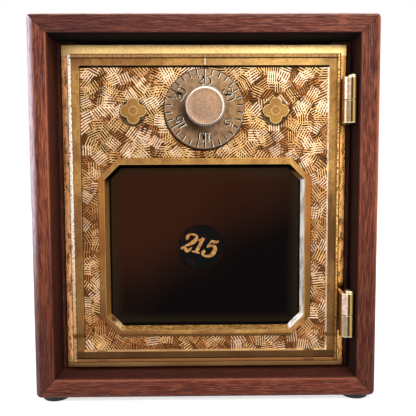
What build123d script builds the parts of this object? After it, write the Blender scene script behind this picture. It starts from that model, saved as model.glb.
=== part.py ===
from build123d import *
import os
from math import cos, pi, radians, sin, tan

# Post office box door: a cast brass door and frame with a dial combination lock,
# hung on two pin hinges in the front of a mitred wooden case that stands on four feet.
# Millimetres. +Z is up and the door faces -Y. The origin is on the ground under the
# middle of the whole depth, knob included. Every "y" runs from front (negative) to back.

# ---------------------------------------------------------------- driving dimensions
# Window, which everything round it is built out from
window_width = 93.4
window_height = 78.4
window_corner = 7.0
band_width = 3.05
band_height = 1.3
band_round = 0.5
reveal_slope = 1.7

# Door casting: widths of the field round the window and of the border round the field
side_field = 7.85
foot_field = 7.1
lock_field = 42.2
border_width = 5.2
bead_width = 1.9
bead_height = 0.6
field_depth = 1.0
field_bevel = 0.6
door_thickness = 4.2
door_gap = 0.3
rib_width = 1.6
rib_height = 1.0
rib_throat_gap = 1.4

# Cast frame: how far its flange shows round the door
flange_side_reveal = 4.2
flange_end_reveal = 4.9
flange_thickness = 2.6
flange_recess = 13.5
flange_edge_round = 0.6
door_drop = 0.6
throat_overlap = 5.0
sleeve_wall = 2.2
sleeve_depth = 12.0
sleeve_corner = 3.0

# Wooden case
flange_side_gap = 2.2
flange_end_gap = 0.8
flange_drop = 0.5
board_thickness = 9.2
case_depth = 105.0
board_outer_round = 2.4
board_inner_round = 0.9
back_panel_thickness = 5.0
back_rebate = 4.0
back_panel_clearance = 0.15
foot_height = 2.0
foot_radius = 6.6
foot_bevel = 0.6
foot_side_inset = 1.2
foot_end_inset = 1.6

# Cleats that carry the frame inside the case
cleat_depth = 12.0
cleat_gap = 0.3
cleat_notch_gap = 0.2
strike_clearance = 0.5
strike_pocket = 4.5

# Glass, its retainer and the roundel on its face
glass_thickness = 3.0
glass_seat_depth = 1.9
glass_ledge = 2.8
glass_clearance = 0.15
retainer_border = 4.2
retainer_lip = 1.6
retainer_thickness = 2.4
roundel_radius = 10.7
roundel_thickness = 0.4
roundel_offset = -2.0

# Cast ornaments either side of the dial
ornament_offset = 32.9
ornament_drop = 0.6
ornament_radius = 6.0
ornament_height = 1.0
ornament_eye_depth = 0.5

# Dial, knob and spindle
dial_drop = 20.0
dial_radius = 18.3
dial_thickness = 3.4
dial_bevel = 0.6
dial_gap = 0.4
knob_radius = 8.7
knob_proud = 1.8
knob_round = 0.6
knob_teeth = 60
knob_tooth_depth = 0.5
knob_tooth_crest = 0.1
knob_rim_width = 0.8
knob_face_depth = 0.2
knob_neck_radius = 6.6
knob_neck_height = 1.6
knob_socket_depth = 3.0
spindle_radius = 2.5
spindle_tail_radius = 1.9
spindle_overrun = 0.6
running_clearance = 0.05

# Bearing tube and tumblers
tube_radius = 4.0
tumbler_count = 3
tumbler_radius = 13.0
tumbler_thickness = 1.8
tumbler_hole_count = 6
tumbler_hole_radius = 1.6
spacer_radius = 6.0
spacer_thickness = 0.8
axial_gap = 0.15
gate_width = 3.2
gate_depth = 2.6
drive_pin_radius = 0.7
drive_pin_height = 0.45
drive_pin_offset = 8.6
cam_radius = 11.0
cam_thickness = 2.4
cam_gap = 0.3
cam_notch_width = 5.0
cam_notch_depth = 3.4
nut_radius = 3.6
nut_thickness = 1.8
nut_gap = 0.7

# Lock plate, pillars and bridge, measured from the dial's axis and the frame's throat
plate_below = 16.4
plate_above = 18.6
plate_right = 37.0
plate_throat_gap = 4.8
plate_thickness = 1.8
boss_height = 1.2
boss_radius = 3.4
pillar_radius = 2.5
pillar_inset = 3.6
pillar_shoulder = 2.0
pillar_waist = 0.5
bridge_left = 29.0
bridge_thickness = 1.6
bridge_border = 6.4
bridge_arm = 9.0
lock_corner = 2.5

# Latch bolt and its guide
bolt_thickness = 3.2
bolt_height = 11.0
bolt_body_height = 16.0
bolt_rest_gap = 2.5
bolt_throw = 6.0
bolt_clearance = 0.3
bolt_nose_bevel = 1.4
bolt_shoulder = 14.0
bolt_tail = 26.0
guide_inset = 1.0
guide_width = 6.0
guide_wall = 2.2

# Fence lever
lever_pivot_x = 21.5
lever_pivot_rise = 14.6
lever_stud_radius = 2.0
stud_collar_radius = 3.0
stud_head_thickness = 0.8
lever_hub_radius = 3.8
lever_arm = 29.0
lever_arm_height = 4.2
lever_thickness = 2.0
lever_side_gap = 0.3
lever_nose_width = 3.6
fence_width = 2.6
fence_height = 3.0
fence_offset = 2.9
fence_gap = 0.35
ear_radius = 4.2

# Hinges, placed from the top and bottom edges of the door
hinge_top_inset = 22.0
hinge_bottom_inset = 23.8
hinge_setback = 3.8
hinge_axis_inset = 2.5
knuckle_radius = 2.3
knuckle_curl_radius = 3.0
knuckle_curl_offset = 1.4
knuckle_length = 10.2
knuckle_round = 0.3
knuckle_gap = 0.15
hinge_pin_radius = 1.2
pin_head_radius = 2.1
pin_head_height = 1.0
pin_head_round = 0.7
leaf_thickness = 1.6
leaf_reach = 7.0
leaf_edge_gap = 0.1
frame_web_offset = 1.4
foot_plate_reach = 6.4
foot_plate_window = 1.9
foot_plate_notch_gap = 0.4

# Screws
machine_shank_radius = 0.9
machine_head_radius = 1.8
leaf_shank_radius = 0.7
leaf_head_radius = 1.2
wood_shank_radius = 1.4
wood_head_radius = 2.8
screw_slot_width = 0.5
screw_slot_depth = 0.5
back_screw_length = 10.0
back_screw_inset = 12.0
frame_screw_length = 9.0
frame_screw_inset = 11.1
frame_screw_setback = 1.0
retainer_screw_length = 4.6
plate_screw_length = 4.6
bridge_screw_length = 5.0
leaf_screw_length = 3.0
leaf_screw_step = 2.9
foot_screw_margin = 1.9

# ---------------------------------------------------------------- derived sizes
field_width = window_width + 2 * (band_width + side_field)
field_height = window_height + 2 * band_width + foot_field + lock_field
door_width = field_width + 2 * border_width
door_height = field_height + 2 * border_width
flange_width = door_width + 2 * flange_side_reveal
flange_height = door_height + 2 * flange_end_reveal
opening_width = flange_width + 2 * flange_side_gap
opening_height = flange_height + 2 * flange_end_gap
case_width = opening_width + 2 * board_thickness
case_height = opening_height + 2 * board_thickness
half_opening = opening_width / 2
half_flange = flange_width / 2
half_door = door_width / 2

# Heights
mid_z = foot_height + case_height / 2
flange_mid = mid_z - flange_drop
door_mid = flange_mid - door_drop
field_bottom = door_mid - field_height / 2
field_top = door_mid + field_height / 2
window_mid = field_bottom + foot_field + band_width + window_height / 2
dial_z = field_top - dial_drop

# The case and frame, front to back
case_front = -(case_depth - knob_proud) / 2
case_back = case_front + case_depth
flange_front = case_front + flange_recess
flange_back = flange_front + flange_thickness
sleeve_back = flange_back + sleeve_depth
cleat_back = flange_back + cleat_depth
throat_width = door_width - 2 * throat_overlap
throat_height = door_height - 2 * throat_overlap
half_throat = throat_width / 2
half_sleeve = half_throat + sleeve_wall

# The door, front to back
door_back = flange_front - door_gap
door_front = door_back - door_thickness
field_front = door_front + field_depth
band_front = field_front - band_height
glass_front = door_back - glass_seat_depth
glass_back = glass_front + glass_thickness
glass_width = window_width - 2 * reveal_slope + 2 * glass_ledge
glass_height = window_height - 2 * reveal_slope + 2 * glass_ledge
retainer_width = glass_width + 2 * retainer_border
retainer_height = glass_height + 2 * retainer_border
retainer_back = door_back + retainer_thickness
dial_back = field_front - dial_gap
dial_front = dial_back - dial_thickness
knob_front = case_front - knob_proud

# The lock, front to back
plate_front = door_back + boss_height
plate_back = plate_front + plate_thickness
bolt_front = plate_back + bolt_clearance
bolt_back = bolt_front + bolt_thickness
stack_front = bolt_back + bolt_clearance
tumbler_pitch = tumbler_thickness + spacer_thickness + 2 * axial_gap
stack_back = stack_front + spacer_thickness + tumbler_count * tumbler_pitch
cam_front = stack_back + cam_gap
cam_back = cam_front + cam_thickness
lever_front = cam_front
lever_back = lever_front + lever_thickness
nut_back = cam_back + nut_thickness
bridge_front = nut_back + nut_gap
bridge_back = bridge_front + bridge_thickness
spindle_end = bridge_back + spindle_overrun

# The lock, across and up
plate_left = half_throat - plate_throat_gap
plate_bottom = dial_z - plate_below
plate_top = dial_z + plate_above
bolt_left = -half_throat + bolt_rest_gap
lever_pivot_z = dial_z + lever_pivot_rise
pillar_left = -bridge_left + pillar_inset
pillar_right = plate_right - pillar_inset
pillar_low = plate_bottom + pillar_inset
pillar_high = plate_top - pillar_inset
pillar_spots = [(x, z) for x in (pillar_left, pillar_right) for z in (pillar_low, pillar_high)]
plate_screw_spots = [(-plate_left + pillar_inset, z) for z in (pillar_low, pillar_high)]
plate_screw_spots += [(plate_right - 3 * pillar_inset, pillar_low), (0.0, pillar_low)]

# Hinges
hinge_x = half_opening - hinge_axis_inset
hinge_y = case_front + hinge_setback
upper_joint = door_mid + door_height / 2 - hinge_top_inset
lower_joint = door_mid - door_height / 2 + hinge_bottom_inset
hinge_joints = (upper_joint, lower_joint)
frame_web_left = hinge_x - frame_web_offset

# Screws: shank radius, head radius
machine_screw = (machine_shank_radius, machine_head_radius)
leaf_screw = (leaf_shank_radius, leaf_head_radius)
wood_screw = (wood_shank_radius, wood_head_radius)


# ---------------------------------------------------------------- helpers
def slab(outline, front, back):
    """Extrude an outline drawn in X and Z from y = front to y = back."""
    plane = Plane(origin=(0, front, 0), x_dir=(1, 0, 0), z_dir=(0, -1, 0))
    return extrude(plane * outline, amount=front - back)


def tapered_slab(outline, front, back, inward):
    """Extrude like slab, with the outline shrinking by inward at the back."""
    depth = back - front
    plane = Plane(origin=(0, front, 0), x_dir=(1, 0, 0), z_dir=(0, 1, 0))
    mirrored = mirror(outline, about=Plane.XZ)
    angle = Vector(depth, 0).get_angle(Vector(depth, inward))
    return extrude(plane * mirrored, amount=depth, taper=angle)


def block(x_span, y_span, z_span):
    """A box given by its limits along each axis."""
    size = [high - low for low, high in (x_span, y_span, z_span)]
    middle = [(low + high) / 2 for low, high in (x_span, y_span, z_span)]
    return Pos(*middle) * Box(*size)


def rod(x, z, radius, front, back):
    """A cylinder along Y."""
    return slab(Pos(x, z) * Circle(radius), front, back)


def upright(x, y, radius, bottom, top):
    """A cylinder along Z."""
    return Pos(x, y, (bottom + top) / 2) * Cylinder(radius, top - bottom)


def rounded(width, height, radius):
    """A rectangle with round corners."""
    return RectangleRounded(width, height, radius)


def cut_corner(width, height, corner):
    """A rectangle with its corners cut at 45 degrees."""
    return chamfer(Rectangle(width, height).vertices(), corner)


def screw(sizes, length):
    """A slotted countersunk screw: its head's top at the origin, its tip towards -Z."""
    shank, head = sizes
    head_depth = head - shank
    body = Pos(0, 0, -length / 2) * Cylinder(shank, length)
    cone = Pos(0, 0, -head_depth / 2) * Cone(shank, head, head_depth)
    slot = Pos(0, 0, -screw_slot_depth / 2) * Box(2.2 * head, screw_slot_width, screw_slot_depth)
    return body + cone - slot


def screw_hole(sizes, length):
    """The countersunk hole that a screw of these sizes fills."""
    shank, head = sizes
    head_depth = head - shank
    body = Pos(0, 0, -length / 2) * Cylinder(shank, length)
    return body + Pos(0, 0, -head_depth / 2) * Cone(shank, head, head_depth)


def facing_back(x, y, z):
    """Turn a screw so that its head faces the back and its tip points to the front."""
    return Pos(x, y, z) * Rot(-90, 0, 0)


def facing_side(x, y, z, side):
    """Turn a screw so that its head faces the middle and its tip points to one side."""
    return Pos(x, y, z) * Rot(0, -90 * side, 0)


def cut_all(solid, tools):
    """Take each tool out of the solid."""
    for tool in tools:
        solid -= tool
    return solid


def gather(solids):
    """Keep several separate solids together as one node."""
    return Compound(children=list(solids))


# ---------------------------------------------------------------- wooden case
def case_shell():
    """All four boards as one rounded ring, before the mitres part them."""
    outer = Rectangle(case_width, case_height)
    shell = slab(Pos(0, mid_z) * outer, case_front, case_back)
    shell = fillet(shell.edges().filter_by(Axis.Y), board_outer_round)
    shell = fillet(shell.faces().sort_by(Axis.Y)[0].edges(), board_outer_round)
    shell -= slab(Pos(0, mid_z) * Rectangle(opening_width, opening_height), case_front, case_back)
    rim = shell.faces().sort_by(Axis.Y)[0].inner_wires()[0].edges()
    shell = fillet(rim, board_inner_round)
    rebate = Rectangle(opening_width + 2 * back_rebate, opening_height + 2 * back_rebate)
    return shell - slab(Pos(0, mid_z) * rebate, case_back - back_panel_thickness, case_back)


def mitred_board(shell, side_x, side_z):
    """The part of the shell that lies between two 45 degree mitres on one side."""
    across = side_z != 0
    reach = (case_width if across else case_height) / 2
    depth = (case_height if across else case_width) / 2
    points = [
        (-reach - board_thickness, depth + board_thickness),
        (reach + board_thickness, depth + board_thickness),
        (reach - 2 * board_thickness, depth - 2 * board_thickness),
        (2 * board_thickness - reach, depth - 2 * board_thickness),
    ]
    turn = 90 - 90 * side_z if across else -90 * side_x
    wedge = Rot(0, 0, turn) * make_face(Polyline(points, close=True))
    return shell & slab(Pos(0, mid_z) * wedge, case_front, case_back)


def back_screw_spots():
    """Where screws hold the back panel, three up each side."""
    x = half_opening + (back_rebate - back_panel_clearance) / 2
    rise = opening_height / 2 - back_screw_inset
    return [(side * x, mid_z + step * rise) for side in (-1, 1) for step in (-1, 0, 1)]


def back_screws(maker):
    """The back panel's screws, or the holes that they fill."""
    spots = back_screw_spots()
    return [facing_back(x, case_back, z) * maker(machine_screw, back_screw_length) for x, z in spots]


def back_panel():
    """The panel let into the rebate at the back of the case."""
    width = opening_width + 2 * (back_rebate - back_panel_clearance)
    height = opening_height + 2 * (back_rebate - back_panel_clearance)
    panel = slab(Pos(0, mid_z) * Rectangle(width, height), case_back - back_panel_thickness, case_back)
    return cut_all(panel, back_screws(screw_hole))


def feet():
    """Four round feet under the bottom board."""
    x = case_width / 2 - foot_side_inset - foot_radius
    inset = foot_end_inset + foot_radius
    discs = []
    for side in (-1, 1):
        for y in (case_front + inset, case_back - inset):
            disc = upright(side * x, y, foot_radius, 0, foot_height)
            discs.append(chamfer(disc.edges().sort_by(Axis.Z)[0], foot_bevel))
    return gather(discs)


def frame_screws(maker):
    """Wood screws through the frame's sleeve into the cleats, or their holes."""
    y = (flange_back + sleeve_back) / 2 + frame_screw_setback
    rise = throat_height / 2 - frame_screw_inset
    made = []
    for side in (-1, 1):
        for step in (-1, 1):
            place = facing_side(side * half_throat, y, door_mid + step * rise, side)
            made.append(place * maker(wood_screw, frame_screw_length))
    return made


def foot_plate_spots():
    """Heights of the middle of each lower knuckle, which the frame carries."""
    return [joint - knuckle_gap / 2 - knuckle_length / 2 for joint in hinge_joints]


def cleat(side):
    """A wooden cleat glued inside one side board, right behind the flange."""
    inner = half_sleeve + cleat_gap
    bottom = mid_z - opening_height / 2
    top = mid_z + opening_height / 2
    x_span = sorted((side * inner, side * half_opening))
    bar = block(x_span, (flange_back, cleat_back), (bottom, top))
    bar = cut_all(bar, frame_screws(screw_hole))
    if side < 0:
        half = bolt_height / 2 + 2 * strike_clearance
        pocket_y = (flange_back, bolt_back + 2 * strike_clearance)
        pocket = block((-inner - strike_pocket, -inner), pocket_y, (dial_z - half, dial_z + half))
        return bar - pocket
    for z in foot_plate_spots():
        half = knuckle_length / 2 + cleat_notch_gap
        notch_y = (flange_back, flange_back + leaf_thickness + foot_plate_notch_gap)
        bar -= block((inner, half_opening), notch_y, (z - half, z + half))
    return bar


# ---------------------------------------------------------------- cast frame
def door_frame():
    """Flange, throat and rear sleeve, slotted for the bolt and notched for the hinges."""
    flange = slab(Pos(0, flange_mid) * Rectangle(flange_width, flange_height), flange_front, flange_back)
    flange = fillet(flange.faces().sort_by(Axis.Y)[0].edges(), flange_edge_round)
    outer_corner = sleeve_corner + sleeve_wall
    outer = rounded(throat_width + 2 * sleeve_wall, throat_height + 2 * sleeve_wall, outer_corner)
    casting = flange + slab(Pos(0, door_mid) * outer, flange_back, sleeve_back)
    throat = rounded(throat_width, throat_height, sleeve_corner)
    casting -= slab(Pos(0, door_mid) * throat, flange_front, sleeve_back)
    half = bolt_height / 2 + strike_clearance
    slot_y = (flange_back, bolt_back + strike_clearance)
    casting -= block((-half_sleeve, -half_throat), slot_y, (dial_z - half, dial_z + half))
    casting = cut_all(casting, frame_screws(screw_hole))
    for z in foot_plate_spots():
        half = knuckle_length / 2 + leaf_edge_gap
        left = frame_web_left - foot_plate_window
        casting -= block((left, half_flange), (flange_front, flange_back), (z - half, z + half))
        for tool in foot_plate_screws(z, screw_hole):
            casting -= tool
    return casting


# ---------------------------------------------------------------- hinges
def knuckle(bottom, top):
    """A curled hinge knuckle, round at the pin and fuller on the leaf side."""
    round_end = Pos(hinge_x, hinge_y) * Circle(knuckle_radius)
    curl_y = hinge_y + knuckle_curl_radius - knuckle_radius
    curl = Pos(hinge_x - knuckle_curl_offset, curl_y) * Circle(knuckle_curl_radius)
    outline = make_hull(round_end.edges() + curl.edges())
    barrel = extrude(Plane.XY.offset(bottom) * outline, amount=top - bottom)
    rims = barrel.faces().sort_by(Axis.Z)
    return fillet(rims[0].edges() + rims[-1].edges(), knuckle_round)


def pin_bore(joint):
    """The bore through both knuckles of one hinge."""
    reach = 2 * knuckle_length
    return upright(hinge_x, hinge_y, hinge_pin_radius, joint - reach, joint + reach)


def running_bore(joint):
    """The looser bore in the door's knuckle, which turns on the pin."""
    radius = hinge_pin_radius + running_clearance
    return upright(hinge_x, hinge_y, radius, joint, joint + 2 * knuckle_length)


def frame_leaf(joint):
    """Lower knuckle on a web that passes the flange's edge to a foot plate behind it."""
    top = joint - knuckle_gap / 2
    bottom = top - knuckle_length
    left = frame_web_left
    web = block((left, left + leaf_thickness), (hinge_y, flange_back + leaf_thickness), (bottom, top))
    foot = block((left - foot_plate_reach + leaf_thickness, left + leaf_thickness),
                 (flange_back, flange_back + leaf_thickness), (bottom, top))
    leaf = knuckle(bottom, top) + web + foot - pin_bore(joint)
    return cut_all(leaf, foot_plate_screws((bottom + top) / 2, screw_hole))


def foot_plate_screws(z, maker):
    """Two screws from behind through a foot plate into the flange, or their holes."""
    x = frame_web_left + leaf_thickness - foot_plate_reach + foot_screw_margin
    y = flange_back + leaf_thickness
    steps = (-leaf_screw_step, leaf_screw_step)
    return [facing_back(x, y, z + step) * maker(leaf_screw, leaf_screw_length) for step in steps]


def door_leaf_screws(joint, maker):
    """Two screws from behind through a door leaf into the door's edge, or their holes."""
    x = half_door - leaf_reach / 2
    z = joint + knuckle_gap / 2 + knuckle_length / 2
    steps = (-leaf_screw_step, leaf_screw_step)
    return [facing_back(x, door_back, z + step) * maker(leaf_screw, leaf_screw_length) for step in steps]


def door_leaf(joint):
    """Upper knuckle on a web beside the door's edge, with a tongue let into its back."""
    bottom = joint + knuckle_gap / 2
    top = bottom + knuckle_length
    left = half_door + leaf_edge_gap
    web = block((left, left + leaf_thickness), (hinge_y, door_back), (bottom, top))
    tongue = block((half_door - leaf_reach, left + leaf_thickness),
                   (door_back - leaf_thickness, door_back), (bottom, top))
    leaf = knuckle(bottom, top) + web + tongue - running_bore(joint)
    return cut_all(leaf, door_leaf_screws(joint, screw_hole))


def hinge_pin(joint):
    """A pin fixed in the lower knuckle, with a domed head above the upper one."""
    bottom = joint - knuckle_gap / 2 - knuckle_length
    head_bottom = joint + knuckle_gap / 2 + knuckle_length + knuckle_gap
    head = upright(hinge_x, hinge_y, pin_head_radius, head_bottom, head_bottom + pin_head_height)
    head = fillet(head.edges().sort_by(Axis.Z)[-1], pin_head_round)
    return upright(hinge_x, hinge_y, hinge_pin_radius, bottom, head_bottom) + head


# ---------------------------------------------------------------- door casting
def door_body():
    """The cast plate with its bead, sunk field and rear rib."""
    outline = Rectangle(door_width, door_height)
    body = slab(Pos(0, door_mid) * outline, door_front, door_back)
    hollow = Rectangle(door_width - 2 * bead_width, door_height - 2 * bead_width)
    bead = slab(Pos(0, door_mid) * (outline - hollow), door_front - bead_height, door_front)
    bead = fillet(bead.faces().sort_by(Axis.Y)[0].edges(), 0.9 * bead_height)
    body += bead
    field = Rectangle(field_width, field_height)
    body -= tapered_slab(Pos(0, door_mid) * field, door_front, field_front, field_bevel)
    rib_w = throat_width - 2 * rib_throat_gap
    rib_h = throat_height - 2 * rib_throat_gap
    rib = rounded(rib_w, rib_h, sleeve_corner) - Rectangle(rib_w - 2 * rib_width, rib_h - 2 * rib_width)
    return body + slab(Pos(0, door_mid) * rib, door_back, door_back + rib_height)


def window_band():
    """The raised band round the window."""
    corner = window_corner + band_width * 2 * tan(radians(22.5))
    outline = cut_corner(window_width + 2 * band_width, window_height + 2 * band_width, corner)
    band = slab(Pos(0, window_mid) * outline, band_front, field_front)
    return fillet(band.faces().sort_by(Axis.Y)[0].edges(), band_round)


def window_opening():
    """The sloping reveal in front and the glass seat behind, as one cutting tool."""
    face = cut_corner(window_width, window_height, window_corner)
    reveal = tapered_slab(Pos(0, window_mid) * face, band_front, glass_front, reveal_slope)
    seat = cut_corner(glass_width, glass_height, window_corner)
    return reveal + slab(Pos(0, window_mid) * seat, glass_front, door_back)


def quatrefoil(x):
    """A raised four-lobed cast ornament."""
    lobe = 0.47 * ornament_radius
    outline = Circle(0.5 * ornament_radius)
    for quarter in range(4):
        angle = radians(90 * quarter)
        reach = ornament_radius - lobe
        outline += Pos(reach * cos(angle), reach * sin(angle)) * Circle(lobe)
    z = dial_z - ornament_drop
    front = field_front - ornament_height
    boss = slab(Pos(x, z) * outline, front, field_front)
    return boss - rod(x, z, 0.3 * ornament_radius, front, front + ornament_eye_depth)


def door_casting():
    """The whole door casting with its seats, bosses, bores and blind screw holes."""
    casting = door_body() + window_band() - window_opening()
    for side in (-1, 1):
        casting += quatrefoil(side * ornament_offset)
    for x, z in plate_screw_spots + pillar_spots:
        casting += rod(x, z, boss_radius, door_back, plate_front)
    casting -= rod(0, dial_z, tube_radius, field_front, door_back)
    casting = cut_all(casting, plate_screws(screw_hole))
    casting = cut_all(casting, retainer_screws(screw_hole))
    for joint in hinge_joints:
        casting = cut_all(casting, door_leaf_screws(joint, screw_hole))
        low = joint + knuckle_gap / 2 - leaf_edge_gap
        high = low + knuckle_length + 2 * leaf_edge_gap
        pocket_x = (half_door - leaf_reach - leaf_edge_gap, half_door)
        casting -= block(pocket_x, (door_back - leaf_thickness, door_back + rib_height), (low, high))
    return casting


def glass_pane():
    """The window glass in its seat."""
    width = glass_width - 2 * glass_clearance
    height = glass_height - 2 * glass_clearance
    pane = slab(Pos(0, window_mid) * cut_corner(width, height, window_corner), glass_front, glass_back)
    return pane


def number_roundel():
    """A thin round plate fixed on the face of the glass."""
    return rod(roundel_offset, window_mid, roundel_radius, glass_front - roundel_thickness, glass_front)


def retainer_spots():
    """Where screws hold the retainer, four along the top and bottom and two up each side."""
    x = retainer_width / 2 - retainer_border / 2
    z = retainer_height / 2 - retainer_border / 2
    long_side = [(step * x * 0.62, side * z) for step in (-1, 0, 1) for side in (-1, 1)]
    short_side = [(side * x, step * z * 0.45) for side in (-1, 1) for step in (-1, 1)]
    return [(px, window_mid + pz) for px, pz in long_side + short_side]


def retainer_screws(maker):
    """The retainer's screws, or the holes that they fill."""
    spots = retainer_spots()
    return [facing_back(x, retainer_back, z) * maker(machine_screw, retainer_screw_length) for x, z in spots]


def glass_retainer():
    """The rear frame that holds the glass in its seat."""
    outer = cut_corner(retainer_width, retainer_height, window_corner)
    lip = glass_ledge + retainer_lip
    bare = cut_corner(glass_width - 2 * lip, glass_height - 2 * lip, window_corner - retainer_lip)
    frame = slab(Pos(0, window_mid) * (outer - bare), door_back, retainer_back)
    seat = cut_corner(glass_width, glass_height, window_corner)
    frame -= slab(Pos(0, window_mid) * seat, door_back, glass_back)
    return cut_all(frame, retainer_screws(screw_hole))


# ---------------------------------------------------------------- lock body
def lock_outline(left, right):
    """A round-cornered plate outline between two distances from the dial's axis."""
    width = left + right
    height = plate_top - plate_bottom
    middle = Pos((right - left) / 2, (plate_top + plate_bottom) / 2)
    return middle * rounded(width, height, lock_corner)


def plate_screws(maker):
    """The lock plate's screws, or the holes that they fill."""
    spots = plate_screw_spots
    return [facing_back(x, plate_back, z) * maker(machine_screw, plate_screw_length) for x, z in spots]


def lock_plate():
    """The plate that carries the lock on the door's bosses."""
    plate = slab(lock_outline(plate_left, plate_right), plate_front, plate_back)
    plate -= rod(0, dial_z, tube_radius, plate_front, plate_back)
    return cut_all(plate, plate_screws(screw_hole))


def lock_pillars():
    """Four turned pillars between the lock plate and the bridge."""
    made = []
    for x, z in pillar_spots:
        front = plate_back + pillar_shoulder
        back = bridge_front - pillar_shoulder
        pillar = rod(x, z, pillar_radius, plate_back, bridge_front)
        waist = rod(x, z, pillar_radius, front, back) - rod(x, z, pillar_radius - pillar_waist, front, back)
        made.append(cut_all(pillar - waist, bridge_screws(screw_hole)))
    return gather(made)


def bridge_screws(maker):
    """The bridge's screws, or the holes that they fill."""
    spots = pillar_spots
    return [facing_back(x, bridge_back, z) * maker(machine_screw, bridge_screw_length) for x, z in spots]


def lock_bridge():
    """The open rear plate that steadies the spindle, with the mechanism in view."""
    bridge = slab(lock_outline(bridge_left, plate_right), bridge_front, bridge_back)
    height = plate_top - plate_bottom - 2 * bridge_border
    middle = (plate_top + plate_bottom) / 2
    for side, reach in ((-1, bridge_left), (1, plate_right)):
        width = reach - bridge_border - bridge_arm / 2
        x = side * (bridge_arm / 2 + width / 2)
        bridge -= slab(Pos(x, middle) * rounded(width, height, lock_corner), bridge_front, bridge_back)
    bridge -= rod(0, dial_z, spindle_tail_radius + running_clearance, bridge_front, bridge_back)
    return cut_all(bridge, bridge_screws(screw_hole))


def dial_tube():
    """The fixed tube that the spindle turns in and the tumblers turn on."""
    tube = rod(0, dial_z, tube_radius, field_front, stack_back)
    bore = rod(0, dial_z, spindle_radius + running_clearance, field_front, stack_back)
    return tube - bore


def spacer_fronts():
    """Front faces of the spacers that part the tumblers."""
    return [stack_front + index * tumbler_pitch for index in range(tumbler_count + 1)]


def tumbler_spacers():
    """Washers fixed on the tube, one before, between and after the tumblers."""
    made = []
    for front in spacer_fronts():
        washer = rod(0, dial_z, spacer_radius, front, front + spacer_thickness)
        made.append(washer - rod(0, dial_z, tube_radius, front, front + spacer_thickness))
    return gather(made)


# ---------------------------------------------------------------- tumblers
def tumbler(index):
    """A gated tumbler wheel with short drive pins on both faces."""
    front = spacer_fronts()[index] + spacer_thickness + axial_gap
    back = front + tumbler_thickness
    wheel = rod(0, dial_z, tumbler_radius, front, back)
    wheel -= rod(0, dial_z, tube_radius + running_clearance, front, back)
    angle = 40.0 + 110.0 * index
    turn = Pos(0, 0, dial_z) * Rot(0, angle, 0)
    gate_z = (tumbler_radius - gate_depth, tumbler_radius + 1)
    wheel -= turn * block((-gate_width / 2, gate_width / 2), (front, back), gate_z)
    spacing = 360 / tumbler_hole_count
    for step in range(tumbler_hole_count):
        hole = Pos(0, 0, dial_z) * Rot(0, angle + spacing * (step + 0.5), 0) * Pos(0, 0, -dial_z)
        wheel -= hole * rod(0, dial_z + drive_pin_offset, tumbler_hole_radius, front, back)
    pin_z = dial_z + drive_pin_offset
    pin = rod(0, pin_z, drive_pin_radius, front - drive_pin_height, back + drive_pin_height)
    return wheel + turn * Pos(0, 0, -dial_z) * pin


# ---------------------------------------------------------------- dial group
def dial_plate():
    """The bevelled dial, bored for the spindle."""
    disc = rod(0, dial_z, dial_radius, dial_front, dial_back)
    disc = chamfer(disc.edges().sort_by(Axis.Y)[0], dial_bevel)
    return disc - rod(0, dial_z, spindle_radius, dial_front, dial_back)


def knob_grip():
    """The knob's grip: teeth milled round a rounded disc, and a face sunk inside a rim."""
    back = dial_front - knob_neck_height
    root = knob_radius - knob_tooth_depth
    tips = []
    for index in range(2 * knob_teeth):
        reach = root if index % 2 else knob_radius + knob_tooth_crest
        angle = pi * index / knob_teeth
        tips.append((reach * sin(angle), reach * cos(angle)))
    star = slab(Pos(0, dial_z) * make_face(Polyline(tips, close=True)), knob_front, back)
    disc = rod(0, dial_z, knob_radius, knob_front, back)
    disc = fillet(disc.edges().filter_by(GeomType.CIRCLE), knob_round)
    face = rod(0, dial_z, root - knob_rim_width, knob_front, knob_front + knob_face_depth)
    return (star & disc) - face


def dial_knob():
    """The turning knob on its neck, bored for the spindle's end."""
    neck = rod(0, dial_z, knob_neck_radius, dial_front - knob_neck_height, dial_front)
    socket = rod(0, dial_z, spindle_radius, dial_front - knob_socket_depth, dial_front)
    return neck + knob_grip() - socket


def dial_spindle():
    """The spindle from the knob to the bridge, stepped down behind the cam."""
    shaft = rod(0, dial_z, spindle_radius, dial_front - knob_socket_depth, cam_back)
    return shaft + rod(0, dial_z, spindle_tail_radius, cam_back, spindle_end)


def driver_cam():
    """The cam on the spindle, notched for the lever's nose."""
    cam = rod(0, dial_z, cam_radius, cam_front, cam_back)
    turn = Pos(0, 0, dial_z) * Rot(0, -75, 0)
    notch_z = (cam_radius - cam_notch_depth, cam_radius + 1)
    cam -= turn * block((-cam_notch_width / 2, cam_notch_width / 2), (cam_front, cam_back), notch_z)
    pin = Pos(0, 0, dial_z) * Rot(0, 60, 0) * Pos(0, 0, -dial_z)
    cam += pin * rod(0, dial_z + drive_pin_offset, drive_pin_radius, cam_front - drive_pin_height, cam_front)
    return cam - rod(0, dial_z, spindle_radius, cam_front, cam_back)


def cam_nut():
    """The hexagon nut that holds the cam on the spindle."""
    nut = slab(Pos(0, dial_z) * RegularPolygon(nut_radius, 6), cam_back, nut_back)
    return nut - rod(0, dial_z, spindle_tail_radius, cam_back, nut_back)


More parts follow.
